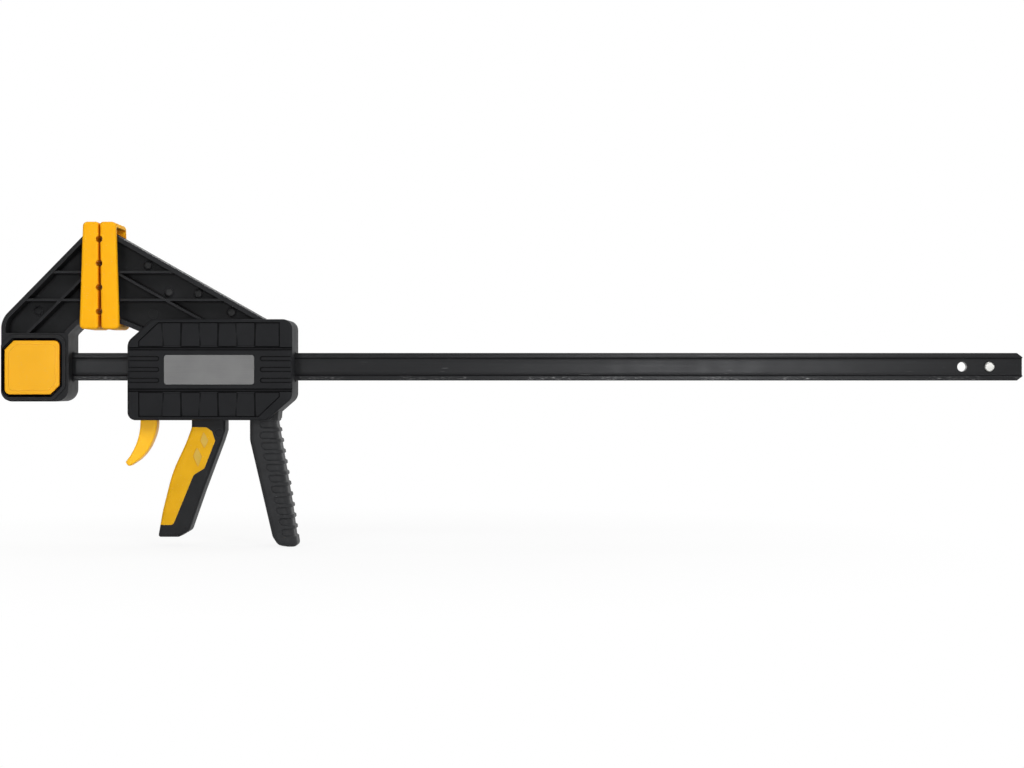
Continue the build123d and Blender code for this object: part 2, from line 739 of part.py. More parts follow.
def trigger_solid():
    half = trigger_thickness / 2
    solid = prism(trigger_outline(), -half, half)
    low_edges = []
    for face in (solid.faces().sort_by(Axis.Y)[0], solid.faces().sort_by(Axis.Y)[-1]):
        low_edges += [e for e in face.outer_wire().edges() if e.bounding_box().max.Z < housing_bottom]
    solid = fillet(low_edges, trigger_edge_r)
    return solid + cross_pin(pivot_x, pivot_z, 2 * eye_r, -half, half)


def inlay_skin():
    """The volume of the inlay: a skin over the front, the finger edge and the back."""
    half = trigger_thickness / 2 - inlay_thickness
    core = prism(offset(trigger_outline(), amount=-inlay_thickness), -half, half)
    return prism(inlay_outline(), -trigger_thickness, trigger_thickness) - core


def make_trigger():
    trigger = trigger_solid() - inlay_skin()
    trigger -= block(pivot_x - trigger_lean, pivot_x + trigger_lean, -fork_slot / 2, fork_slot / 2,
                     fork_floor_z, pivot_z + eye_r + 1)
    trigger -= cross_pin(pivot_x, pivot_z, pivot_pin_d + 2 * pin_fit, -trigger_thickness, trigger_thickness)
    dimple_x, dimple_z, _ = on_trigger(0.188, 0.048)
    for y in (-trigger_thickness / 2, trigger_thickness / 2):
        trigger -= cross_pin(dimple_x, dimple_z, dimple_d, y - dimple_depth, y + dimple_depth)
    return trigger


def make_trigger_inlay():
    return trigger_solid() & inlay_skin()


def pivot_pin_length():
    return housing_thickness - 2 * screw_tip_wall


def make_pivot_pin():
    half = pivot_pin_length() / 2
    pin = cross_pin(pivot_x, pivot_z, pivot_pin_d, -half, half)
    return chamfer(pin.edges().filter_by(GeomType.CIRCLE), 0.4)


# ---------------------------------------------------------------- drive plates and spring
def make_drive_plate(number):
    x = drive_plate_x + (number - 1) * drive_plate
    half = drive_plate_width / 2
    plate = block(x, x + drive_plate, -half, half, -drive_plate_height / 2, drive_plate_height / 2)
    plate = fillet(plate.edges().filter_by(Axis.X), 2)
    return plate - block(x - 1, x + drive_plate + 1, -bar_slot_width / 2, bar_slot_width / 2,
                         -bar_slot_height / 2, bar_slot_height / 2)


def make_drive_spring():
    spring = coil(drive_spring_d, drive_spring_wire, drive_seat_x - drive_spring_x, drive_spring_turns)
    return Pos(drive_spring_x, 0, 0) * Rot(0, 90, 0) * spring


# ---------------------------------------------------------------- brake plates and release lever
def brake_frame():
    """The centre of the bead that the brake plates rock on, turned to their resting tilt."""
    return Pos(brake_hinge_x, 0, brake_hinge_z) * Rot(0, brake_tilt_deg, 0)


def make_brake_plate(number):
    x = brake_face_gap + (number - 1) * brake_plate
    half = brake_plate_width / 2
    plate = block(x, x + brake_plate, -half, half, -brake_plate_below, brake_plate_above)
    plate = fillet(plate.edges().filter_by(Axis.X), 2)
    tang_half = brake_tang_width / 2
    plate += block(x, x + brake_plate, -tang_half, tang_half,
                   -brake_plate_below - brake_tang_length, -brake_plate_below + 1)
    mid_tilt = radians(brake_tilt_deg - brake_swing_deg / 2)
    slot_centre = ((brake_face_gap + brake_plate) * sin(mid_tilt) - brake_hinge_z) / cos(mid_tilt)
    slot_half = bar_slot_width / 2 + pin_fit
    plate -= block(x - 1, x + brake_plate + 1, -slot_half, slot_half,
                   slot_centre - brake_slot / 2, slot_centre + brake_slot / 2)
    return brake_frame() * plate


def on_lever(across, down, r):
    """A corner in shares of the lever's width, from the housing's left end, and of its length."""
    return (housing_left + across * lever_width, lever_top_z - down * lever_length, r)


def lever_outline():
    """The release lever's side view: a curved horn, wide at the housing and pointed at the tip."""
    return outline([
        on_lever(0.385, 0, 2), on_lever(0.332, 0.455, 45), on_lever(0.198, 0.661, 40),
        on_lever(-0.032, 0.826, 40), on_lever(-0.235, 0.934, 1.2), on_lever(-0.102, 1, 1.6),
        on_lever(0.369, 0.886, 28), on_lever(0.727, 0.715, 38), on_lever(0.979, 0.465, 32),
        on_lever(1, 0.331, 6), on_lever(0.856, 0, 2)])


def make_release_lever():
    half = lever_thickness / 2
    lever = prism(lever_outline(), -half, half)
    edges = []
    for face in (lever.faces().sort_by(Axis.Y)[0], lever.faces().sort_by(Axis.Y)[-1]):
        edges += face.outer_wire().edges()
    lever = fillet(edges, lever_edge_r)
    tang_half = brake_tang_width / 2 + pin_fit
    tang = block(brake_face_gap - pin_fit, brake_face_gap + 2 * brake_plate + pin_fit, -tang_half, tang_half,
                 -brake_plate_below - brake_tang_length - pin_fit, 0)
    return lever - brake_frame() * tang


def make_brake_spring():
    tilt = radians(brake_tilt_deg)
    plates_x = brake_hinge_x - (brake_hinge_z - brake_spring_z) * tan(tilt)
    start = plates_x + (brake_face_gap + 2 * brake_plate) / cos(tilt) + slide_fit
    spring = coil(brake_spring_d, brake_spring_wire, middle_left_x - start, brake_spring_turns)
    return Pos(start, 0, brake_spring_z) * Rot(0, 90, 0) * spring


# ---------------------------------------------------------------- write every piece
pieces = {
    "bar": make_bar(),
    "stop_pin": make_stop_pin(),
    "fixed_jaw": make_fixed_jaw(),
    "fixed_jaw_pad": make_pad(-1),
    "push_button": make_push_button(),
    "lock_yoke": make_lock_yoke(),
    "button_spring": make_button_spring(),
    "lock_cap": make_lock_cap(),
    "moving_jaw_body": make_moving_jaw_body(),
    "moving_jaw_pad": make_pad(1),
    "front_cover": make_cover(True),
    "rear_cover": make_cover(False),
    "front_label_plate": make_label_plate(True),
    "rear_label_plate": make_label_plate(False),
    "cover_screws": make_cover_screws(),
    "trigger": make_trigger(),
    "trigger_inlay": make_trigger_inlay(),
    "trigger_pivot_pin": make_pivot_pin(),
    "drive_plate_front": make_drive_plate(1),
    "drive_plate_rear": make_drive_plate(2),
    "drive_spring": make_drive_spring(),
    "brake_plate_front": make_brake_plate(1),
    "brake_plate_rear": make_brake_plate(2),
    "brake_spring": make_brake_spring(),
    "release_lever": make_release_lever(),
}

os.makedirs("parts", exist_ok=True)
for name, piece in pieces.items():
    export_step(piece, f"parts/{name}.step")
print("wrote", len(pieces), "pieces")
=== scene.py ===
# %% [markdown]
# # A quick release bar clamp
# The clamp is an I-shaped steel bar with two plastic jaws. One jaw is pinned to the bar's left
# end, the other slides along it in a housing with a trigger, a grip and a release lever.
# The engineering model is loaded first as a fixed frame. It gives every piece its true place,
# so this lesson only decides which pieces need a finer shape, and what each one is made of.

# %% Load the frame
import math
import bmesh
import bpy
from mathutils import Matrix, Vector


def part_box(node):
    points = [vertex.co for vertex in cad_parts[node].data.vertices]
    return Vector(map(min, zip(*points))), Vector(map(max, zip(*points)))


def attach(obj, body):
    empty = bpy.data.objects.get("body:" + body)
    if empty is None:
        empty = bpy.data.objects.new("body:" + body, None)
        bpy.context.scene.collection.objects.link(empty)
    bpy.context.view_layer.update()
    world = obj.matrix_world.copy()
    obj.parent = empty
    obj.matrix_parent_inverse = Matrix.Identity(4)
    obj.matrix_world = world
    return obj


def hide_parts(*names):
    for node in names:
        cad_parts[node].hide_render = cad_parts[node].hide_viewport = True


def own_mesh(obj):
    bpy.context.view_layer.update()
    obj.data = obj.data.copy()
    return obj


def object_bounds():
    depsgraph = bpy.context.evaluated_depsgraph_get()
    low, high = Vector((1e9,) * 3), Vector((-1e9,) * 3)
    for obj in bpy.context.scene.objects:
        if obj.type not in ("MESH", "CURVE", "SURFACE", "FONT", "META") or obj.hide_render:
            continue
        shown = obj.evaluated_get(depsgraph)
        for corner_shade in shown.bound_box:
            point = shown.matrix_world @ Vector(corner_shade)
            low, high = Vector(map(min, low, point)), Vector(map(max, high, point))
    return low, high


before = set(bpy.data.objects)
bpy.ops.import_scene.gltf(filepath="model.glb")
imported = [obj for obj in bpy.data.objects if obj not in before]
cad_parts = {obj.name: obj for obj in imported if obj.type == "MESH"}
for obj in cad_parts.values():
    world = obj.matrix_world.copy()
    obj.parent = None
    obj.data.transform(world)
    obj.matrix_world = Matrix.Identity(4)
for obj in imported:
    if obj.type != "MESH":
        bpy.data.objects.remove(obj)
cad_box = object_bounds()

MM = 0.001
print("box of the frame in mm:", [[round(v / MM, 1) for v in corner_shade] for corner_shade in cad_box])

# %% [markdown]
# ## The camera
# A long lens shows an object almost without perspective. The clamp is 737 mm long, so the camera
# stands well back, level with the housing, and looks straight along +Y. It stands nearer to the
# bar's middle than to the jaws, which is why the right sides of the jaws show.

# %% Camera
camera_place = Vector((0.296, -1.4, -0.0125))
seen_width = 0.7444

camera = bpy.data.objects.new("camera", bpy.data.cameras.new("camera"))
bpy.context.scene.collection.objects.link(camera)
camera.location = camera_place
camera.rotation_euler = (math.radians(90), 0, 0)
camera.data.sensor_width = 36
camera.data.lens = camera.data.sensor_width * -camera_place.y / seen_width
camera.data.clip_end = 50
bpy.context.scene.camera = camera
print("lens in mm:", round(camera.data.lens, 1))

# %% [markdown]
# ## Sums on sockets
# A material is a graph of nodes. Adding and linking them one by one makes long code in which the
# idea is lost, so two small classes help here. `Amount` wraps a socket, so that `1 - mask * 0.5`
# adds the Math nodes by itself. `Board` has one method that adds any node: its settings are set
# first, then what its sockets hold. Its other methods are short names for nodes that come back
# often. The same board also builds Geometry Nodes trees.

# %% Board and Amount
class Amount:
    """What comes out of a node. Sums on it add Math nodes."""

    def __init__(self, board, socket):
        self.board, self.socket = board, socket

    def __add__(self, other):
        return self.board.maths("ADD", self, other)

    def __sub__(self, other):
        return self.board.maths("SUBTRACT", self, other)

    def __rsub__(self, other):
        return self.board.maths("SUBTRACT", other, self)

    def __mul__(self, other):
        return self.board.maths("MULTIPLY", self, other)

    def __truediv__(self, other):
        return self.board.maths("DIVIDE", self, other)

    def __rtruediv__(self, other):
        return self.board.maths("DIVIDE", other, self)

    def __pow__(self, other):
        return self.board.maths("POWER", self, other)

    __radd__, __rmul__ = __add__, __mul__


class Board:
    """A node tree that nodes are put on."""

    def __init__(self, tree):
        self.tree = tree

    def node(self, kind, sockets=None, out=0, **settings):
        """Adds a node and gives what comes out of it."""
        made = self.tree.nodes.new(kind)
        for name, value in settings.items():
            setattr(made, name, value)
        self.fill(made, sockets or {})
        return Amount(self, made.outputs[out]) if made.outputs else made

    def fill(self, made, sockets):
        """Gives a node's sockets their values or links. A colour gets its alpha of 1 here."""
        for name, value in sockets.items():
            socket = made.inputs[name]
            for item in value if isinstance(value, list) else [value]:
                if isinstance(item, Amount):
                    self.tree.links.new(item.socket, socket)
                else:
                    socket.default_value = (*item, 1) if socket.type == "RGBA" else item

    def maths(self, operation, *values):
        """A Math node on one value or more."""
        return self.node("ShaderNodeMath", dict(enumerate(values)), operation=operation)

    def place(self):
        """Where a point lies in the piece's own coordinates, in metres."""
        return self.node("ShaderNodeTexCoord", out=3)

    def coordinate(self, vector, axis):
        """One coordinate of a vector: 0 for x, 1 for y and 2 for z."""
        return self.node("ShaderNodeSeparateXYZ", {0: vector}, out=axis)

    def limited(self, value, low=0.0, high=1.0):
        """A value spread so that low becomes 0 and high becomes 1, and cut off beyond them."""
        return self.node("ShaderNodeMapRange", {
            "Value": value, "From Min": low, "From Max": high}, clamp=True)

    def mixed(self, share, first, second):
        """A colour between two colours."""
        return self.node("ShaderNodeMix", {0: share, 6: first, 7: second}, out=2, data_type="RGBA")


print("a board adds nodes to any tree")

# %% [markdown]
# ## Where a pattern sits
# Grain, scuffs and brush lines are noise in the piece's own coordinates, in metres, so they keep
# their true size and ride along when the piece moves. `spots` is plain noise. `streaks` squeezes
# the coordinates, so that the noise is drawn out along one direction like the lines of a brush.

# %% Noise in true size
def spots(board, size_mm, detail=2.0):
    """Noise whose blots are about size_mm across."""
    return board.node("ShaderNodeTexNoise", {
        "Vector": board.place(), "Scale": 1 / (size_mm * MM), "Detail": detail})


def streaks(board, sizes_mm, detail=2.0):
    """Noise with its own blot size along x, y and z."""
    scales = tuple(1 / (size * MM) for size in sizes_mm)
    stretched = board.node("ShaderNodeVectorMath", {0: board.place(), 1: scales}, operation="MULTIPLY")
    return board.node("ShaderNodeTexNoise", {"Vector": stretched, "Scale": 1.0, "Detail": detail})


def softened(board, radius_mm):
    """The surface's direction with every edge rounded by a small radius."""
    return board.node("ShaderNodeBevel", {"Radius": radius_mm * MM}, samples=4)


def edge_wear_and_highlight(board, radius_mm):
    """1 on the very edges of a piece and 0 on its flats: the mask for real wear and for painted highlights.
    """
    rounded = softened(board, radius_mm)
    flat = board.node("ShaderNodeNewGeometry", out=1)
    same = board.node("ShaderNodeVectorMath", {0: rounded, 1: flat}, out=1, operation="DOT_PRODUCT")
    return board.limited(1 - same, 0.02, 0.22)


def openness(board, reach_mm, samples=6):
    """How freely light comes in from within a distance, from 0 to 1."""
    return board.node("ShaderNodeAmbientOcclusion", {"Distance": reach_mm * MM}, out=1, samples=samples)


def crevice_shade(board, reach_mm, shut=0.45, open_from=0.85):
    """1 deep in grooves and corners, where shade falls, and 0 in the open: the mask of painted shade."""
    return 1 - board.limited(openness(board, reach_mm), shut, open_from)


def bumped(board, height, depth_mm, round_mm):
    """The surface's direction with its edges rounded and a fine relief on it."""
    return board.node("ShaderNodeBump", {
        "Strength": 1.0, "Distance": depth_mm * MM, "Height": height, "Normal": softened(board, round_mm)})


finishes = {}


def finish(name, recipe):
    """A material whose recipe says what goes into the surface's sockets."""
    material = bpy.data.materials.new(name + "_finish")
    material.use_nodes = True
    board = Board(material.node_tree)
    board.fill(material.node_tree.nodes["Principled BSDF"], recipe(board))
    finishes[name] = material
    print("finish", name, "has", len(board.tree.nodes), "nodes")


# %% [markdown]
# ## Moulded black plastic
# The jaws, trigger and grip are nylon filled with short glass fibres. It leaves the mould nearly
# black and matt, with a fine grain and cloudy marks where the melt flowed. Its edges are painted a
# little lighter, partly as wear from handling and partly as a painted highlight, and painted shade
# darkens its grooves and corners. The grip gets a lighter copy of the nylon as painted light. The
# housing covers are an unfilled plastic, smoother and more even, with painted shade that makes
# them darkest in their grooves and between their tiles.

# %% Black plastics
# near black, the colour of painted shade in grooves and corners
shade_black = (0.0012, 0.0012, 0.0014)


def black_moulded(low, high, edge, rough, cloud_mm, grain_mm, depth_mm, reach_mm,
                  shade_mask=crevice_shade, shine=0.16):
    """A recipe for black plastic: two tones in clouds, edges lighter from wear and a painted highlight, and
    painted shade, nearly black, in grooves and corners.
    """
    def recipe(board):
        clouds = board.limited(spots(board, cloud_mm, 3.0), 0.3, 0.7)
        grain = spots(board, grain_mm)
        painted_shade = shade_mask(board, reach_mm)
        # edges painted lighter, partly wear from handling and partly a painted highlight
        wear_and_highlight = edge_wear_and_highlight(board, 0.5) * (1 - painted_shade)
        color = board.mixed(clouds, low, high)
        # painted shade: grooves and corners turn nearly black
        color = board.mixed(painted_shade * 0.9, color, shade_black)
        color = board.mixed(wear_and_highlight * (spots(board, 3.0) * 0.8 + 0.2), color, edge)
        return {
            "Base Color": color,
            "Roughness": clouds * (rough[1] - rough[0]) + grain * 0.08 + painted_shade * 0.3 + rough[0],
            "Specular IOR Level": shine,
            "Normal": bumped(board, grain, depth_mm, 0.35),
        }
    return recipe


nylon = {"edge": (0.085, 0.086, 0.09), "cloud_mm": 9.0, "grain_mm": 0.45, "depth_mm": 0.02}
finish("black_nylon", black_moulded(
    low=(0.0092, 0.0096, 0.0106), high=(0.015, 0.0155, 0.0168), rough=(0.46, 0.56), reach_mm=2.5, **nylon))
# the grip is the same moulding as the jaw; its lighter copy of the nylon is painted light
finish("grip_nylon", black_moulded(
    low=(0.017, 0.0175, 0.0188), high=(0.024, 0.0246, 0.0262), rough=(0.42, 0.52), reach_mm=0.9, **nylon))
# lower roughness for the polish; the lighter base colour is a painted highlight
finish("polished_nylon", black_moulded(
    low=(0.027, 0.0274, 0.0282), high=(0.035, 0.0354, 0.0362), edge=(0.06, 0.061, 0.064),
    rough=(0.36, 0.46), cloud_mm=3.0, grain_mm=0.4, depth_mm=0.008, reach_mm=0.3))


tile_joints = [58.94, 85.42, 111.9]
tile_fields = [(-36.2, -18.3), (14.1, 31.7)]
face_starts, face_depth = 20.62, 20.68


def groove_and_joint_shade(board, reach_mm):
    """Painted shade: 1 in the grooves and between the tiles of a cover, and 0 on its face and round rims."""
    place = board.place()
    depth = board.maths("ABSOLUTE", board.coordinate(place, 1))
    below = 1 - board.limited(depth, face_starts * MM, face_depth * MM)
    # painted shade on the walls of the grooves
    walls = below * board.limited(1 - openness(board, reach_mm, 8), 0.06, 0.18)
    x, z = board.coordinate(place, 0), board.coordinate(place, 2)
    nearest = 1.0
    for joint in tile_joints:
        nearest = board.maths("MINIMUM", board.maths("ABSOLUTE", x - joint * MM), nearest)
    lower, upper = [
        board.limited(z, low * MM, (low + 0.1) * MM) * (1 - board.limited(z, (high - 0.1) * MM, high * MM))
        for low, high in tile_fields]
    # painted shade as dark lines along the joints between the tiles
    joints = (1 - board.limited(nearest, 0.34 * MM, 0.5 * MM)) * (lower + upper)
    return board.maths("MAXIMUM", walls, joints)


finish("cover_plastic", black_moulded(
    low=(0.0132, 0.0137, 0.015), high=(0.0164, 0.0169, 0.0184), edge=(0.036, 0.037, 0.04),
    rough=(0.44, 0.52), cloud_mm=22.0, grain_mm=0.3, depth_mm=0.01,
    reach_mm=1.3, shade_mask=groove_and_joint_shade, shine=0.06))

# %% [markdown]
# ## Amber rubber and plastic
# The jaw pads are a soft rubber-like plastic in amber. Its surface is dull, slightly uneven and
# picks up specks of dust. The button and the release lever are nearly the same colour in a hard,
# more glossy plastic, and the trigger's inlay is a yellower, soft moulding.

# %% Amber finishes
dust_color = (0.72, 0.5, 0.22)
# the colour of the painted highlight on amber edges
highlight_amber = (0.96, 0.6, 0.1)
# the colour of painted shade in amber corners and grooves
corner_shade_amber = (0.68, 0.18, 0.001)


def amber(light, deep, rough, cloud_mm, grain_mm, depth_mm, dust, rim=0.15):
    """A recipe for amber plastic: two tones in clouds, dust, a painted highlight on the edges and redder
    painted shade in corners.
    """
    def recipe(board):
        clouds = board.limited(spots(board, cloud_mm), 0.25, 0.75)
        grain = spots(board, grain_mm)
        specks = board.limited(spots(board, 0.9, 0.0), 0.74, 0.8)
        color = board.mixed(clouds, light, deep)
        color = board.mixed(specks * dust, color, dust_color)
        # a painted highlight along the edges
        color = board.mixed(edge_wear_and_highlight(board, 0.9) * rim, color, highlight_amber)
        # painted shade, redder, in corners and grooves
        color = board.mixed(crevice_shade(board, 3.0, 0.35, 0.92), color, corner_shade_amber)
        return {
            "Base Color": color,
            "Roughness": clouds * (rough[1] - rough[0]) + specks * 0.1 + rough[0],
            "Specular IOR Level": 0.16,
            "Subsurface Weight": 0.08,
            "Subsurface Radius": (0.004, 0.002, 0.0004),
            "Subsurface Scale": 1.0,
            "Normal": bumped(board, grain, depth_mm, 0.4),
        }
    return recipe


finish("amber_rubber", amber(
    light=(0.92, 0.435, 0.0006), deep=(0.87, 0.395, 0.0004), rough=(0.54, 0.64), cloud_mm=14.0,
    grain_mm=0.55, depth_mm=0.018, dust=0.35, rim=0.35))
hard = {"rough": (0.36, 0.44), "grain_mm": 0.4, "depth_mm": 0.006, "dust": 0.15}
finish("amber_plastic", amber(
    light=(0.87, 0.43, 0.012), deep=(0.82, 0.395, 0.01), cloud_mm=24.0, rim=0.45, **hard))
# a lighter copy of the button's plastic: painted light for the lever, which sits in the housing's shade
finish("amber_lever", amber(
    light=(1.0, 0.54, 0.02), deep=(0.97, 0.5, 0.016), cloud_mm=20.0, rim=0.3, **hard))
finish("amber_inlay", amber(
    light=(0.74, 0.39, 0.003), deep=(0.68, 0.35, 0.002), rough=(0.46, 0.56),
    cloud_mm=12.0, grain_mm=0.5, depth_mm=0.012, dust=0.2))
finish("inlay_window", amber(
    light=(0.64, 0.4, 0.06), deep=(0.58, 0.36, 0.045), rough=(0.38, 0.48),
    cloud_mm=6.0, grain_mm=0.5, depth_mm=0.006, dust=0.1))

# %% [markdown]
# ## Steels
# The bar is drawn steel under a satin black oxide. Its metal shows through as fine lines along
# the bar, in scuffs on its edges and in rubs on the lower flange where the head slides. Painted
# shade darkens the corners beside the web. The pins and screws are zinc plated, the plates are
# ground and the springs oiled.

# %% Steel finishes
web_half = 6.2 * MM


def drawn_black(board):
    lines = streaks(board, (90.0, 1.2, 0.35), 3.0)
    blots = board.limited(spots(board, 16.0, 3.0), 0.3, 0.75)
    scuffs = board.limited(streaks(board, (16.0, 2.0, 0.5)), 0.66, 0.72)
    patches = board.limited(spots(board, 22.0, 1.0), 0.6, 0.68)
    height = board.coordinate(board.place(), 2)
    from_corner = board.maths("ABSOLUTE", board.maths("ABSOLUTE", height) - web_half)
    # painted shade darkens the corners beside the web
    corner_shade = 1 - board.limited(from_corner, 0.25 * MM, 0.75 * MM)
    wear_and_highlight = edge_wear_and_highlight(board, 0.5) * board.limited(streaks(board, (14.0, 3.0, 3.0)), 0.45, 0.6)
    low_flange = board.limited(0 - height, 6.9 * MM, 7.5 * MM)
    rubs = board.limited(streaks(board, (4.0, 2.0, 0.35)), 0.56, 0.66)
    rubs = rubs * board.limited(spots(board, 45.0, 1.0), 0.5, 0.58) * low_flange
    bare = board.maths("MAXIMUM", wear_and_highlight * 0.7, scuffs * patches * 0.4 + rubs * 0.3)
    color = board.mixed(lines, (0.0095, 0.0098, 0.0106), (0.0175, 0.0179, 0.019))
    color = board.mixed(blots * 0.35, color, (0.011, 0.0115, 0.0125))
    color = board.mixed(corner_shade * 0.85, color, (0.006, 0.006, 0.007))
    color = board.mixed(bare, color, (0.3, 0.3, 0.3))
    return {
        "Base Color": color,
        "Metallic": bare * 0.35 + 0.55,
        "Specular IOR Level": 0.22,
        "Roughness": lines * 0.12 + blots * 0.05 + corner_shade * 0.2 + 0.24,
        "Normal": bumped(board, lines, 0.01, 0.5),
    }


def plated(color, sizes_mm, rough, stain):
    def recipe(board):
        lines = streaks(board, sizes_mm, 3.0)
        blots = board.limited(spots(board, 4.0, 3.0), 0.35, 0.7)
        dark = tuple(0.55 * part for part in color)
        return {
            "Base Color": board.mixed(blots * stain + lines * 0.2, color, dark),
            "Metallic": 1.0,
            "Roughness": lines * (rough[1] - rough[0]) + blots * 0.08 + rough[0],
            "Normal": bumped(board, lines, 0.008, 0.25),
        }
    return recipe


finish("black_steel", drawn_black)
finish("bright_steel", plated((0.6, 0.6, 0.58), (0.8, 0.8, 0.8), (0.3, 0.46), 0.3))
finish("plate_steel", plated((0.36, 0.36, 0.37), (3.0, 12.0, 0.3), (0.28, 0.46), 0.4))
finish("spring_steel", plated((0.3, 0.3, 0.31), (1.5, 1.5, 1.5), (0.26, 0.4), 0.5))

# %% [markdown]
# ## The label plates
# A thin plate of brushed grey metal is glued into a recess of each cover. Here it stays bare, so
# its finish is all there is to see: fine brush lines along its length, a cloudy sheen, and a
# rim that is a little brighter where the cut edge catches the light.

# %% Label metal
def brushed_label(board):
    lines = streaks(board, (30.0, 1.0, 0.22), 4.0)
    clouds = board.limited(spots(board, 18.0, 2.0), 0.3, 0.7)
    color = board.mixed(lines, (0.095, 0.096, 0.097), (0.162, 0.162, 0.161))
    color = board.mixed(clouds * 0.45, color, (0.182, 0.183, 0.182))
    # a painted highlight on the plate's rim
    color = board.mixed(edge_wear_and_highlight(board, 0.45) * 0.6, color, (0.42, 0.42, 0.42))
    return {
        "Base Color": color,
        "Metallic": 0.35,
        "Roughness": lines * 0.15 + clouds * 0.06 + 0.36,
        "Normal": bumped(board, lines, 0.006, 0.25),
    }


finish("label_metal", brushed_label)

# %% [markdown]
# ## Helpers for shapes
# Three ways of making a solid come back again and again: a flat outline with rounded corners
# that is pushed out to a thickness, a copy of a frame node whose loose triangles are welded, and
# a cut with another solid. Each helper leaves its object at the origin with the place in the mesh.

# %% Shape helpers
def add_object(name, mesh):
    made = bpy.data.objects.new(name, mesh)
    bpy.context.scene.collection.objects.link(made)
    return made


def rounded_outline(corners, steps=8):
    """Points of a closed outline from corners of x, z and radius."""
    points = []
    for i, (x, z, radius) in enumerate(corners):
        here = Vector((x, z))
        before = (Vector(corners[i - 1][:2]) - here).normalized()
        after = (Vector(corners[(i + 1) % len(corners)][:2]) - here).normalized()
        if radius == 0:
            points.append(here)
            continue
        half = before.angle(after) / 2
        centre = here + (before + after).normalized() * (radius / math.sin(half))
        start = here + before * (radius / math.tan(half)) - centre
        turn = start.angle_signed(here + after * (radius / math.tan(half)) - centre)
        for step in range(steps + 1):
            points.append(centre + Matrix.Rotation(-turn * step / steps, 2) @ start)
    return points


def worked_out(made):
    """What an object and its modifiers come to, as a mesh of its own."""
    bpy.context.view_layer.update()
    graph = bpy.context.evaluated_depsgraph_get()
    return bpy.data.meshes.new_from_object(made.evaluated_get(graph))


def shaded_smooth(mesh, sharp_deg=35):
    """Smooth shading, but for edges sharper than an angle."""
    mesh.shade_smooth()
    mesh.set_sharp_from_angle(angle=math.radians(sharp_deg))


def plain_mesh(made, sharp_deg=35):
    """The object's result as its own mesh, with no modifier left on it."""
    mesh = worked_out(made)
    made.modifiers.clear()
    made.data = mesh
    shaded_smooth(mesh, sharp_deg)
    return made


def clean_normals(mesh):
    """Welds a mesh's doubles and turns its faces outwards."""
    work = bmesh.new()
    work.from_mesh(mesh)
    bmesh.ops.remove_doubles(work, verts=work.verts, dist=1e-6)
    bmesh.ops.recalc_face_normals(work, faces=work.faces)
    work.to_mesh(mesh)
    work.free()


def add_solid(name, work):
    """The closed shape on a workbench as an object."""
    mesh = bpy.data.meshes.new(name)
    work.to_mesh(mesh)
    work.free()
    clean_normals(mesh)
    return add_object(name, mesh)


def pushed_out(name, points, y_front, y_back):
    """A solid from outline points of x and z in mm, between two y in mm."""
    work = bmesh.new()
    ring = [work.verts.new((p[0] * MM, y_front * MM, p[1] * MM)) for p in points]
    face = work.faces.new(ring)
    moved = bmesh.ops.extrude_face_region(work, geom=[face])["geom"]
    verts = [v for v in moved if isinstance(v, bmesh.types.BMVert)]
    bmesh.ops.translate(work, verts=verts, vec=(0, (y_back - y_front) * MM, 0))
    return add_solid(name, work)


def bridge_rings(work, rings):
    """Faces between each ring of points and the next."""
    for ring, following in zip(rings, rings[1:]):
        for k in range(len(ring)):
            j = (k + 1) % len(ring)
            work.faces.new((ring[k], ring[j], following[j], following[k]))


def rounded_edges(made, width_mm, segments):
    """Rounds the edges that turn by more than 60 degrees."""
    bevel = made.modifiers.new("rounding", "BEVEL")
    bevel.width, bevel.segments = width_mm * MM, segments
    bevel.limit_method, bevel.angle_limit = "ANGLE", math.radians(60)
    bevel.use_clamp_overlap = False
    return plain_mesh(made)


def cut(made, tools):
    """Takes the tools away from the object, and the tools with them."""
    for tool in tools:
        away = made.modifiers.new("cut", "BOOLEAN")
        away.object, away.operation, away.solver = tool, "DIFFERENCE", "MANIFOLD"
    plain_mesh(made)
    for tool in tools:
        bpy.data.objects.remove(tool)
    return made


def welded_copy(node, name, dissolve=True):
    """A copy of a frame node with its loose triangles welded and its flats made whole."""
    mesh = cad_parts[node].data.copy()
    if "custom_normal" in mesh.attributes:
        mesh.attributes.remove(mesh.attributes["custom_normal"])
    work = bmesh.new()
    work.from_mesh(mesh)
    bmesh.ops.remove_doubles(work, verts=work.verts, dist=2e-6)
    if dissolve:
        bmesh.ops.dissolve_limit(work, angle_limit=math.radians(0.5), verts=work.verts, edges=work.edges)
    work.to_mesh(mesh)
    work.free()
    return add_object(name, mesh)


def set_finish(made, name, body, replaces=()):
    """Gives a piece its finish, the body that it rides on and the nodes that it stands for."""
    made.data.materials.clear()
    made.data.materials.append(finishes[name])
    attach(made, body)
    if replaces:
        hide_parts(*replaces)
    print(made.name, "has", len(made.data.polygons), "faces")
    return made


# %% [markdown]
# ## The bar grows by a rule
# A drawn bar is one section carried along a line. That is just what Geometry Nodes are good at:
# the section is a closed curve whose corners get a fillet, Curve to Mesh carries it along the
# length, and a boolean takes away the cross holes and the corners of both ends. The sizes
# are named inputs, so a longer bar is one number.

# %% Bar tree
def geometry_tree(name, labels, kind="Float"):
    """An empty tree with named inputs of one kind. Gives its board and what comes in."""
    tree = bpy.data.node_groups.new(name, "GeometryNodeTree")
    for way in ("OUTPUT", "INPUT"):
        tree.interface.new_socket("Geometry", in_out=way, socket_type="NodeSocketGeometry")
    for label in labels:
        tree.interface.new_socket(label, in_out="INPUT", socket_type="NodeSocket" + kind)
    board = Board(tree)
    entry = tree.nodes.new("NodeGroupInput")
    return board, {socket.name: Amount(board, socket) for socket in entry.outputs if socket.name}


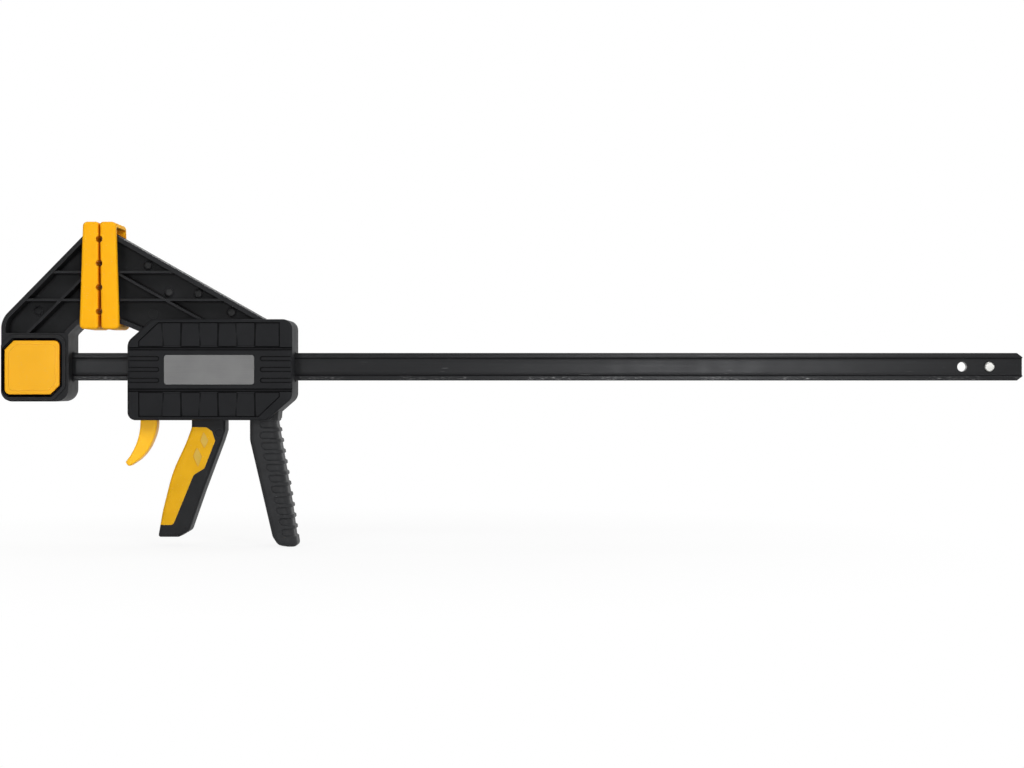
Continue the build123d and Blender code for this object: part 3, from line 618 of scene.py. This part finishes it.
def close_tree(board, shape, material):
    """Ends a tree: copies made real, the finish set."""
    real = board.node("GeometryNodeRealizeInstances", {0: shape})
    painted = board.node("GeometryNodeSetMaterial", {"Geometry": real, "Material": material})
    board.node("NodeGroupOutput", {0: painted})
    return board.tree


def grow(host, tree, values):
    """Runs a tree on an object with the given inputs and keeps the plain mesh."""
    modifier = host.modifiers.new("grow", "NODES")
    modifier.node_group = tree
    for item in tree.interface.items_tree:
        if item.in_out == "INPUT" and item.name in values:
            modifier[item.identifier] = values[item.name]
    mesh, name = worked_out(host), host.name
    bpy.data.objects.remove(host)
    clean_normals(mesh)
    shaded_smooth(mesh)
    return add_object(name, mesh)


def bar_tree(material):
    board, given = geometry_tree("drawn_bar", [
        "Left end", "Right end", "Edge radius", "Hole diameter", "Lock hole", "Spread hole",
        "Stop pin hole", "Height", "Corner run", "Corner rise"])

    def at(x, y=0.0, z=0.0):
        return board.node("ShaderNodeCombineXYZ", {"X": x, "Y": y, "Z": z})

    section = board.node("GeometryNodeFilletCurve", {
        "Curve": given["Geometry"], "Count": 3, "Radius": given["Edge radius"]}, mode="POLY")
    line = board.node("GeometryNodeCurvePrimitiveLine", {
        "Start": at(given["Left end"]), "End": at(given["Right end"])})
    solid = board.node("GeometryNodeCurveToMesh", {
        "Curve": line, "Profile Curve": section, "Fill Caps": True})
    drill = board.node("GeometryNodeMeshCylinder", {
        "Vertices": 48, "Radius": given["Hole diameter"] * 0.5, "Depth": given["Height"]})
    tools = []
    for hole in ("Lock hole", "Spread hole", "Stop pin hole"):
        tools.append(board.node("GeometryNodeTransform", {
            "Geometry": drill, "Translation": at(given[hole]), "Rotation": (math.radians(90), 0, 0)}))
    block = 0.02
    square = board.node("GeometryNodeMeshCube", {"Size": (block, block, block)})
    run, rise = given["Corner run"], given["Corner rise"]
    slope = board.maths("ARCTAN2", rise, run)
    reach = board.maths("SQRT", run ** 2.0 + rise ** 2.0)
    for end, side in (("Left end", -1), ("Right end", 1)):
        for level in (-1, 1):
            out_x, out_z = rise / reach * side, run / reach * level
            middle_x = given[end] - run * (0.5 * side)
            middle_z = given["Height"] * (0.5 * level) - rise * (0.5 * level)
            tools.append(board.node("GeometryNodeTransform", {
                "Geometry": square, "Rotation": at(0.0, slope * (side * level), 0.0),
                "Translation": at(middle_x + out_x * (block / 2), 0.0, middle_z + out_z * (block / 2))}))
    shaped = board.node("GeometryNodeMeshBoolean", {0: solid, 1: tools}, operation="DIFFERENCE")
    return close_tree(board, shaped, material)


# %% Grow the bar
bar_low, bar_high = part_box("bar")
half_height, half_thick, half_web, flange = 10.0, 4.0, 2.5, 3.8
inner = half_height - flange
bar_section = [
    (-half_thick, -half_height), (half_thick, -half_height), (half_thick, -inner), (half_web, -inner),
    (half_web, inner), (half_thick, inner), (half_thick, half_height), (-half_thick, half_height),
    (-half_thick, inner), (-half_web, inner), (-half_web, -inner), (-half_thick, -inner)]
curve = bpy.data.curves.new("drawn_bar", "CURVE")
curve.dimensions = "3D"
spline = curve.splines.new("POLY")
spline.points.add(len(bar_section) - 1)
for point, (x, y) in zip(spline.points, bar_section):
    point.co = (x * MM, y * MM, 0, 1)
spline.use_cyclic_u = True
bar_piece = grow(add_object("drawn_bar", curve), bar_tree(finishes["black_steel"]), {
    "Left end": bar_low.x, "Right end": bar_high.x, "Edge radius": 0.5 * MM, "Hole diameter": 7.0 * MM,
    "Lock hole": bar_low.x + 15.2 * MM, "Spread hole": bar_high.x - 43.4 * MM,
    "Stop pin hole": bar_high.x - 23.9 * MM, "Height": 2 * half_height * MM,
    "Corner run": 4.0 * MM, "Corner rise": 3.0 * MM})
set_finish(bar_piece, "black_steel", "bar_frame", ["bar"])
print("bar length in mm:", round((bar_high.x - bar_low.x) / MM, 1))

# %% [markdown]
# ## The jaw pads
# Each pad is a soft cup pulled over the tip of a jaw. All its edges are well rounded, so a groove
# opens where the two pads meet, a little wider towards the bar, and four round notches cross that
# groove to hold pipes and rods. The cup is a pushed out outline with rounded edges. A block and
# four rods are then cut away, which is how the mould's core works on the real one.

# %% Jaw pads
def round_angles(sides):
    return [2 * math.pi * k / sides for k in range(sides)]


def rod(name, x, z, diameter, y_front, y_back, sides=48):
    """A solid round bar along y, in mm."""
    radius = diameter / 2
    ring = [(x + radius * math.cos(a), z + radius * math.sin(a)) for a in round_angles(sides)]
    return pushed_out(name, ring, y_front, y_back)


def box_outline(x_low, x_high, z_low, z_high):
    return [(x_low, z_low), (x_high, z_low), (x_high, z_high), (x_low, z_high)]


pad_bottom, pad_top, pad_half, pad_wall = 27.0, 104.0, 20.0, 3.8
wrap_bottom, wrap_top, wrap_round = 14.3, 11.8, 3.2
seam_top, seam_round, tip_face = 0.4, 2.3, 3.9
notch_diameter, notch_heights = 4.9, [39.5 + 17.3 * i for i in range(4)]


def pad(name, side, seam_bottom):
    """A cup on one side of the plane where the pads meet: side is -1 for left and 1 for right."""
    corners = [(seam_bottom, pad_bottom, seam_round), (wrap_bottom, pad_bottom, wrap_round),
               (wrap_top, pad_top, wrap_round), (seam_top, pad_top, seam_round)]
    cup = pushed_out(name, rounded_outline([(side * x, z, r) for x, z, r in corners], 6), -pad_half, pad_half)
    rounded_edges(cup, 1.9, 5)
    core_x = sorted((side * tip_face, side * pad_half))
    core = pushed_out("core", box_outline(*core_x, pad_bottom + pad_wall, pad_top - pad_wall),
                      pad_wall - pad_half, pad_half - pad_wall)
    rods = [rod("rod", 0, z, notch_diameter, -pad_half - 1, pad_half + 1) for z in notch_heights]
    return cut(cup, [core] + rods)


for side, seam_bottom, body, node in (
        (-1, 0.8, "bar_frame", "fixed_jaw_pad"), (1, 1.4, "head", "moving_jaw_pad")):
    set_finish(pad(node + "_soft", side, seam_bottom), "amber_rubber", body, [node])

# %% [markdown]
# ## The push button
# The button is a thick, slightly pillowed cap. Its outline is a square with two opposite corners
# cut off, so it only fits its seat one way round. A narrow black gap parts it from a low ring, the
# bezel. The cap is hollow underneath, where the spring sits. Its face stays bare. Rings of points,
# each smaller and higher than the last, make its raised border and its pillow.

# %% Push button
button_mid = Vector((-48.8, -0.65))
button_half = Vector((19.75, 19.4))
button_front, button_back, hollow_front, bezel_back = -17.0, -11.2, -14.6, -15.2


def button_face(inset, round_r, cut_corner):
    """The outline of the button, drawn in by an inset."""
    left, low = button_mid - button_half + Vector((inset, inset))
    right, high = button_mid + button_half - Vector((inset, inset))
    return rounded_outline([
        (left, low, round_r), (right - cut_corner, low, 1.6), (right, low + cut_corner, 1.6),
        (right, high, round_r), (left + cut_corner, high, 1.6), (left, high - cut_corner, 1.6)])


button = pushed_out("push_button_cap", button_face(0, 4.0, 6.6), button_front, button_back)
rounded_edges(button, 0.7, 4)
work = bmesh.new()
work.from_mesh(button.data)
front_y = min(v.co.y for v in work.verts)
on_front = [f for f in work.faces if f.calc_center_median().y < front_y + 0.01 * MM]
top_face = max(on_front, key=lambda f: f.calc_area())
ring = [v.co.copy() for v in top_face.verts]
centre = Vector((button_mid.x * MM, front_y, button_mid.y * MM))
bmesh.ops.delete(work, geom=[top_face], context="FACES_ONLY")
loops = [[min(work.verts, key=lambda v: (v.co - p).length) for p in ring]]
for share, rise in ((0.96, 0.02), (0.885, 0.05), (0.865, 0.44), (0.6, 0.53), (0.3, 0.59), (0.1, 0.6)):
    loops.append([work.verts.new(centre + (p - centre) * share - Vector((0, rise * MM, 0))) for p in ring])
bridge_rings(work, loops)
work.faces.new(loops[-1])
work.to_mesh(button.data)
work.free()
clean_normals(button.data)
cut(button, [pushed_out("hollow", button_face(2.0, 2.0, 6.0), hollow_front, button_back + 1.2)])
set_finish(button, "amber_plastic", "button", ["push_button"])

bezel = pushed_out("button_bezel", button_face(-2.2, 6.0, 7.8), button_front, bezel_back)
rounded_edges(bezel, 0.45, 3)
cut(bezel, [pushed_out("seat", button_face(-0.85, 4.4, 6.9), button_front - 1, bezel_back + 1.2)])
set_finish(bezel, "black_nylon", "bar_frame")

# %% [markdown]
# ## The release lever
# The lever is a curved horn that the index finger pulls. Its outline swells under the housing
# and runs out to a blunt tip. The frame's lever already has that shape, so a welded copy of it is
# enough. The softness of its edges comes from the finish, which bends the surface's direction.

# %% Release lever
lever = welded_copy("release_lever", "release_lever_soft")
set_finish(lever, "amber_lever", "release", ["release_lever"])

# %% [markdown]
# ## The trigger's inlay
# A soft skin wraps the finger side of the trigger. On each of its faces two shallow lozenges are
# pressed in, one above the other, paler and smoother than the skin. They are thin plates here,
# let into the skin by a hair, because a real pressed mark is no deeper than that.

# %% Trigger inlay
lozenges = [
    [(73.4, -46.4), (77.0, -53.3), (74.1, -59.4), (70.9, -53.6)],
    [(68.7, -57.6), (72.3, -64.8), (69.4, -73.1), (65.8, -64.4)]]
pocket_depth, window_sunk, window_back = 0.25, 0.2, 0.5
skin = welded_copy("trigger_inlay", "trigger_inlay_skin")
skin_front = min(v.co.y for v in skin.data.vertices) / MM
skin_back = max(v.co.y for v in skin.data.vertices) / MM
pockets = []
for number, corners in enumerate(lozenges, 1):
    points = rounded_outline([(x, z, 0.7) for x, z in corners], 5)
    for face, y, side in (("front", skin_front, -1), ("back", skin_back, 1)):
        pockets.append(pushed_out("pocket", points, y - pocket_depth, y + pocket_depth))
        window = pushed_out(f"inlay_lozenge_{face}_{number}", points, y - side * window_sunk,
                            y - side * window_back)
        set_finish(window, "inlay_window", "trigger")
cut(skin, pockets)
set_finish(skin, "amber_inlay", "trigger", ["trigger_inlay"])

# %% [markdown]
# ## The grip
# The grip is moulded in one with the sliding jaw. It is rounded more at its back, where the palm
# lies, than at its front. Eleven scoops start on its flank as a round end, run back and go round
# behind, so that the palm can't slip. It is built as a grid: each row is a slice with rounded
# corners between the front edge and the back edge, and the scoops push the grid's points inwards.

# %% Grip slices
grip_top, grip_half, front_round, back_round, end_round = -37.5, 14.5, 3.5, 7.0, 4.0
grip_end = Vector((134.8, -129.85))
front_edge = rounded_outline([
    (107.0, grip_top, 0), (107.0, -52.8, 14), (123.3, -122.6, 8), (127.6, -129.1, 6), (*grip_end, 0),
    (150, grip_top, 0)], 10)[:-1]
back_edge = rounded_outline([
    (127.4, grip_top, 0), (127.2, -40.0, 10), (137.6, -101.5, 60), (140.7, -124.5, 20),
    (141.55, -130.0, 2.6), (*grip_end, 0), (90, grip_top, 0)], 10)[:-1]


def walked(points, share):
    """The point at a share of a line's length."""
    lengths = [(q - p).length for p, q in zip(points, points[1:])]
    left = share * sum(lengths)
    for p, q, length in zip(points, points[1:], lengths):
        if left <= length:
            return p.lerp(q, left / length)
        left -= length
    return points[-1].copy()


face_steps, front_steps, flank_steps, back_steps = 5, 6, 34, 8


def slice_of(width, half, at_front, at_back):
    """A slice's points as distance from the front edge and y, and their outward directions."""
    at_front, at_back = min(at_front, width * 0.4, half), min(at_back, width * 0.5, half)
    run = []
    for k in range(face_steps):
        run.append(((0, -k / face_steps * (half - at_front)), (-1, 0)))
    for k in range(front_steps + 1):
        turn = math.radians(90 * k / front_steps)
        run.append(((at_front * (1 - math.cos(turn)), -half + at_front * (1 - math.sin(turn))),
                    (-math.cos(turn), -math.sin(turn))))
    for k in range(1, flank_steps):
        run.append(((at_front + (width - at_front - at_back) * k / flank_steps, -half), (0, -1)))
    for k in range(back_steps + 1):
        turn = math.radians(90 * k / back_steps)
        run.append(((width - at_back * (1 - math.sin(turn)), -half + at_back * (1 - math.cos(turn))),
                    (math.sin(turn), -math.cos(turn))))
    for k in range(1, face_steps + 1):
        run.append(((width, (-half + at_back) * (1 - k / face_steps)), (1, 0)))
    mirrored = [((x, -y), (nx, -ny)) for (x, y), (nx, ny) in run[1:-1]]
    return run + mirrored[::-1]


# %% Grip with its scoops
scoop_rows = [-41.6 - 7.8 * i for i in range(11)]
scoop_radius, scoop_off, scoop_depth, scoop_inset = 2.9, 0.9, 1.2, 7.1
plain_front, plain_end = 3, -124
flank_x, flank_z, flank_slope = 107.0, -52.8, 16.1 / 68.7


def scooped(x, z, front_x):
    """How deep the nearest scoop goes at a place of the flank."""
    row = min(scoop_rows, key=lambda level: abs(level - z))
    start = front_x + scoop_inset + scoop_radius
    reach = math.hypot(max(0, start - x), z - row)
    return min(scoop_depth, max(0, math.sqrt(max(0, scoop_radius ** 2 - reach ** 2)) - scoop_off))


work = bmesh.new()
rows = []
row_count = 250
for i in range(row_count):
    share = i / row_count
    front, back = walked(front_edge, share), walked(back_edge, share)
    across = (back - front).normalized()
    from_end = min(end_round, (front.y + back.y) / 2 - grip_end.y + 0.05)
    half = grip_half - (end_round - math.sqrt(end_round ** 2 - (end_round - from_end) ** 2))
    front_x = flank_x + max(0, flank_z - front.y) * flank_slope
    ring = []
    for (along, y), (out_x, out_y) in slice_of((back - front).length, half, front_round, back_round):
        place = front + across * along
        depth = scooped(place.x, place.y, front_x) if along > plain_front and place.y > plain_end else 0
        place -= across * out_x * depth
        ring.append(work.verts.new((place.x * MM, (y - out_y * depth) * MM, place.y * MM)))
    rows.append(ring)
bridge_rings(work, rows)
work.faces.new(rows[0])
work.faces.new(rows[-1])
grip = plain_mesh(add_solid("grip", work), 50)
print("grip has", len(grip.data.polygons), "faces and", len(scoop_rows), "scoops")

# %% [markdown]
# ## The sliding jaw above its grip
# The rest of the moulding, its ribbed arm and the core inside the housing, is right as the frame
# has it. A welded copy is split at the height where the covers hide the joint, and what lies
# below is taken off. Both pieces together then stand for the frame's node.

# %% Sliding jaw
jaw_frame = welded_copy("moving_jaw_body", "moving_jaw_frame", dissolve=False)
work = bmesh.new()
work.from_mesh(jaw_frame.data)
split_z, grip_side = grip_top * MM, 100 * MM
bmesh.ops.bisect_plane(
    work, geom=work.verts[:] + work.edges[:] + work.faces[:], plane_co=(0, 0, split_z), plane_no=(0, 0, 1))
below = [f for f in work.faces
         if f.calc_center_median().z < split_z and f.calc_center_median().x > grip_side]
bmesh.ops.delete(work, geom=below, context="FACES")
bmesh.ops.holes_fill(work, edges=[e for e in work.edges if e.is_boundary], sides=0)
work.to_mesh(jaw_frame.data)
work.free()
plain_mesh(jaw_frame)
set_finish(jaw_frame, "black_nylon", "head", ["moving_jaw_body"])
set_finish(grip, "grip_nylon", "head", ["moving_jaw_body"])

# %% [markdown]
# ## One tree for what repeats
# Screws and mould marks are one shape set down at many places. The tree takes the places as the
# points of a mesh and the shape as an object, puts a copy on every point, and makes the copies
# real, as one plain mesh. The shapes are turned on a lathe: a profile of radius and height is
# carried once round the y axis.

# %% Repeating tree
def turned_shape(name, profile, sides=36):
    """A closed shape turned about y, from radius and y in mm, that starts and ends on the axis."""
    work = bmesh.new()
    rings = []
    for radius, y in profile:
        angles = round_angles(sides) if radius else [0]
        rings.append([
            work.verts.new((radius * math.cos(a) * MM, y * MM, radius * math.sin(a) * MM)) for a in angles])
    for ring, following in zip(rings, rings[1:]):
        for k in range(sides):
            corners = [ring[k % len(ring)], ring[(k + 1) % len(ring)],
                       following[(k + 1) % len(following)], following[k % len(following)]]
            work.faces.new(list(dict.fromkeys(corners)))
    return add_solid(name, work)


def set_down(name, shape, places, material):
    """Copies of a shape at places of x, y and z in mm, as one plain mesh."""
    board, given = geometry_tree(name, ["Shape"], "Object")
    info = board.node("GeometryNodeObjectInfo", {"Object": given["Shape"]}, out=4)
    copies = board.node("GeometryNodeInstanceOnPoints", {"Points": given["Geometry"], "Instance": info})
    points = bpy.data.meshes.new(name)
    points.from_pydata([Vector(place) * MM for place in places], [], [])
    made = grow(add_object(name, points), close_tree(board, copies, material), {"Shape": shape})
    bpy.data.objects.remove(shape)
    return made


# %% [markdown]
# ## Mould marks
# Where a pin pushed the moulding out of its mould, it leaves a flat disc on the web of the jaw.
# Each mark is a low disc in a shallow ring, slightly domed. The arm has four on each side, more
# polished than the grainy web around them and painted lighter as a highlight, and the fixed jaw
# has one as matt as its web.

# %% Mould marks
mark_profile = [(0, 0.34), (1.5, 0.32), (2.3, 0.24), (2.5, 0.16), (2.6, 0.03), (3.3, 0.03), (3.35, 0), (0, 0)]
arm_marks = [(31.9, 73.5), (47.1, 54.0), (68.5, 53.2), (92.5, 39.4)]
fixed_marks = [(-47.6, 40.4)]
web_face = 2.9
for body, name, marks, finish_name in (
        ("head", "arm_mould_marks", arm_marks, "polished_nylon"),
        ("bar_frame", "fixed_jaw_mould_marks", fixed_marks, "black_nylon")):
    for face, side in (("front", -1), ("back", 1)):
        shape = turned_shape("mark", [(r, side * y) for r, y in mark_profile])
        places = [(x, side * web_face, z) for x, z in marks]
        marks_made = set_down(f"{name}_{face}", shape, places, finishes[finish_name])
        set_finish(marks_made, finish_name, body)

# %% [markdown]
# ## The cover screws
# Five pan head screws hold the two covers together, with their heads in round recesses at the
# back. Where they sit is measured from the frame's node. One screw is turned, with a low dome and
# a ringed shank, its cross is cut, and the tree sets it down five times.

# %% Cover screws
head_low, head_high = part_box("cover_screws")
head_width = 7.5
tops = [v.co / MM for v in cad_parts["cover_screws"].data.vertices if v.co.y > head_high.y - 0.05 * MM]
heads = []
for point in tops:
    near = next((head for head in heads if (head[0] - point).length < head_width), None)
    if near:
        near.append(point)
    else:
        heads.append([point])
screw_places = []
for head in heads:
    xs, zs = [p.x for p in head], [p.z for p in head]
    screw_places.append(((min(xs) + max(xs)) / 2, 0, (min(zs) + max(zs)) / 2))
print("screws at", [tuple(round(c, 1) for c in place) for place in screw_places])

shank_end, head_seat, thread_pitch = head_low.y / MM, 18.0, 1.2
screw_profile = [
    (0, 20.15), (1.2, 20.1), (2.2, 19.8), (2.9, 19.2), (3.2, 18.6), (3.25, 18.05), (1.6, head_seat)]
thread = head_seat
while thread > shank_end + 2.6:
    screw_profile += [(1.68, thread - 0.35), (1.25, thread - 0.85)]
    thread -= thread_pitch
screw_profile += [(0.5, shank_end + 0.2), (0, shank_end + 0.02)]
screw = turned_shape("screw", screw_profile)
cross_long, cross_wide, cross_floor, cross_top = 1.9, 0.42, 19.0, 21
cut(screw, [pushed_out("arm", box_outline(-a, a, -b, b), cross_floor, cross_top)
            for a, b in ((cross_long, cross_wide), (cross_wide, cross_long))])
screws = set_down("cover_screws_turned", screw, screw_places, finishes["bright_steel"])
set_finish(screws, "bright_steel", "head", ["cover_screws"])

# %% [markdown]
# ## The springs
# Three springs work inside: one pushes the drive plates back, one tilts the brake plates, and one
# lifts the button. A coil spring is a spiral with a round wire along it. The tree closes both
# ends, so that the last coil lies flat on its seat as on a real compression spring.

# %% Spring tree
def spring_tree(material):
    board, given = geometry_tree("coil_spring", ["Wire", "Coil diameter", "Length", "Turns"])
    wire, turns = given["Wire"], given["Turns"]
    radius = (given["Coil diameter"] - wire) * 0.5
    spiral = board.node("GeometryNodeCurveSpiral", {
        "Resolution": 28, "Rotations": turns, "Start Radius": radius, "End Radius": radius, "Height": 0.01})
    along = board.node("GeometryNodeSplineParameter")
    closed = 0.8 / turns
    end_coils = board.limited(along, 0.0, closed) + board.limited(along, 1 - closed, 1.0)
    open_coils = board.limited(along, closed, 1 - closed)
    height = end_coils * wire + open_coils * (given["Length"] - wire * 3.0) + wire * 0.5
    there = board.node("GeometryNodeInputPosition")
    place = board.node("ShaderNodeCombineXYZ", {
        0: board.coordinate(there, 0), 1: board.coordinate(there, 1), 2: height})
    path = board.node("GeometryNodeSetPosition", {"Geometry": spiral, "Position": place})
    round_wire = board.node("GeometryNodeCurvePrimitiveCircle", {"Resolution": 10, "Radius": wire * 0.5})
    coil = board.node("GeometryNodeCurveToMesh", {
        "Curve": path, "Profile Curve": round_wire, "Fill Caps": True})
    return close_tree(board, coil, material)


# %% Grow the springs
coil_tree = spring_tree(finishes["spring_steel"])


def spring(node, body, axis, wire, coil_diameter, turns, fixed_end):
    """A spring in the place of a node, along its axis x or y."""
    low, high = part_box(node)
    length = getattr(high, axis) - getattr(low, axis)
    host = add_object(node + "_coil", bpy.data.meshes.new(node))
    made = grow(host, coil_tree, {
        "Wire": wire * MM, "Coil diameter": coil_diameter * MM, "Length": length, "Turns": turns})
    turn, direction = Matrix.Rotation(math.radians(90), 4, "Y"), (1, 0, 0)
    if axis == "y":
        turn, direction = Matrix.Rotation(math.radians(-90), 4, "X"), (0, 1, 0)
    middle = (low + high) / 2
    setattr(middle, axis, getattr(low, axis))
    made.data.transform(Matrix.Translation(middle) @ turn)
    set_finish(made, "spring_steel", body, [node])
    anchor = middle.copy()
    setattr(anchor, axis, fixed_end * MM)
    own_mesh(made)
    print(node, "is", round(length / MM, 1), "mm long")


spring("drive_spring", "head", "x", wire=1.6, coil_diameter=24.2, turns=4.5,
       fixed_end=116)
spring("brake_spring", "head", "x", wire=0.9, coil_diameter=6.0, turns=6.0,
       fixed_end=50)
spring("button_spring", "bar_frame", "y", wire=1.0, coil_diameter=14.0, turns=3.0,
       fixed_end=-6.3)

# %% [markdown]
# ## Materials for the frame's own pieces
# Pieces whose shape is already right keep their mesh from the frame and only change their
# finish. A node's material slot is set on its object.

# %% Finish the frame's nodes
kept = {
    "black_nylon": ["fixed_jaw", "lock_cap", "trigger"],
    "cover_plastic": ["front_cover", "rear_cover"],
    "bright_steel": ["stop_pin", "lock_yoke", "trigger_pivot_pin"],
    "plate_steel": ["drive_plate_front", "drive_plate_rear", "brake_plate_front", "brake_plate_rear"],
    "label_metal": ["front_label_plate", "rear_label_plate"],
}
for finish_name, names in kept.items():
    for name in names:
        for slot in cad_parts[name].material_slots:
            slot.link = "OBJECT"
            slot.material = finishes[finish_name]
print("finished", sum(len(names) for names in kept.values()), "nodes of the frame")

# %% [markdown]
# ## The studio
# The clamp is shown on white. A floor lies just under the grip, and the world behind is white
# for the camera and, from behind the clamp, for reflections. Big soft area lamps light it: two
# high in front and one low in front carry most of the light, one far to the right lights the
# bar's end, and one above and two behind pick out the edges. Two small lamps stand where the bar
# mirrors them and draw a sheen along its web.

# %% Floor and world
def emptied(owner):
    """The board of a material or a world with nothing on it yet."""
    owner.use_nodes = True
    owner.node_tree.nodes.clear()
    return Board(owner.node_tree)


def ray_kinds(board):
    """1 or 0 for a ray straight from the camera, off a mirror, and through glass."""
    return [board.node("ShaderNodeLightPath", out=kind)
            for kind in ("Is Camera Ray", "Is Glossy Ray", "Is Transmission Ray")]


plain_white = (1, 1, 1)
floor_z, floor_half = cad_box[0].z - 0.2 * MM, 6
floor_corners = [(x * floor_half, y * floor_half, floor_z) for x, y in ((-1, -1), (1, -1), (1, 1), (-1, 1))]
floor_mesh = bpy.data.meshes.new("floor")
floor_mesh.from_pydata(floor_corners, [], [(0, 1, 2, 3)])
floor = add_object("floor", floor_mesh)
pale = bpy.data.materials.new("pale_floor")
board = emptied(pale)
matt = board.node("ShaderNodeBsdfDiffuse", {"Color": (0.9, 0.9, 0.9)})
white = board.node("ShaderNodeEmission", {"Color": plain_white, "Strength": 1.0})
reach = board.node("ShaderNodeVectorMath", {
    0: board.place(), 1: (0.2, 0.0, floor_z)}, out=1, operation="DISTANCE")
open_floor = board.limited(reach, 0.15, 0.45) * 0.12 + 0.88
camera_ray, glossy_ray, through_ray = ray_kinds(board)
seen = board.node("ShaderNodeClamp", {0: camera_ray + glossy_ray + through_ray})
both = board.node("ShaderNodeMixShader", {0: seen * open_floor, 1: matt, 2: white})
board.node("ShaderNodeOutputMaterial", {0: both})
floor.data.materials.append(pale)

world = bpy.data.worlds.new("studio")
bpy.context.scene.world = world
board = emptied(world)
direction = board.node("ShaderNodeTexCoord", out=0)
behind = board.limited(board.coordinate(direction, 1), -0.2, 0.4)
camera_ray, glossy_ray, through_ray = ray_kinds(board)
level = board.node("ShaderNodeClamp", {0: camera_ray + through_ray + glossy_ray * behind * 0.75 + 0.25})
sky = board.node("ShaderNodeBackground", {"Color": plain_white, "Strength": level})
board.node("ShaderNodeOutputWorld", {0: sky})

# %% Lamps
lamps = {  # name: (place, aim, size, power)
    "high_left": ((-0.8, -1.6, 1.3), (0.1, 0, 0), 1.0, 9),
    "high_right": ((1.1, -1.7, 1.1), (0.12, 0, 0), 0.8, 16),
    "low_front": ((-0.1, -1.9, -0.5), (0.1, 0, -0.03), 0.7, 31),
    "far_right": ((1.9, -0.35, 0.0), (0.15, 0, 0), 0.6, 5),
    "sheen": ((0.62, -1.9, 0.02), (0.43, 0, 0), 0.22, 7),
    "rim": ((1.5, 1.2, 0.6), (0.1, 0, 0), 0.8, 1.5),
    "top": ((0.3, 0.3, 1.8), (0.3, 0, 0), 1.2, 12),
    "sheen_left": ((-0.36, -1.9, 0.02), (0.02, 0, 0), 0.2, 2.8),
    "behind": ((-0.5, 1.9, 0.1), (0.1, 0, 0), 1.0, 12),
}
for name, (place, aim, size, power) in lamps.items():
    data = bpy.data.lights.new(name, "AREA")
    data.shape, data.size, data.energy = "SQUARE", size, power
    lamp = add_object(name, data)
    lamp.location = place
    lamp.rotation_euler = (Vector(aim) - Vector(place)).to_track_quat("-Z", "Y").to_euler()
bpy.context.scene.view_settings.view_transform = "Standard"
print(len(lamps), "lamps and the world are set")
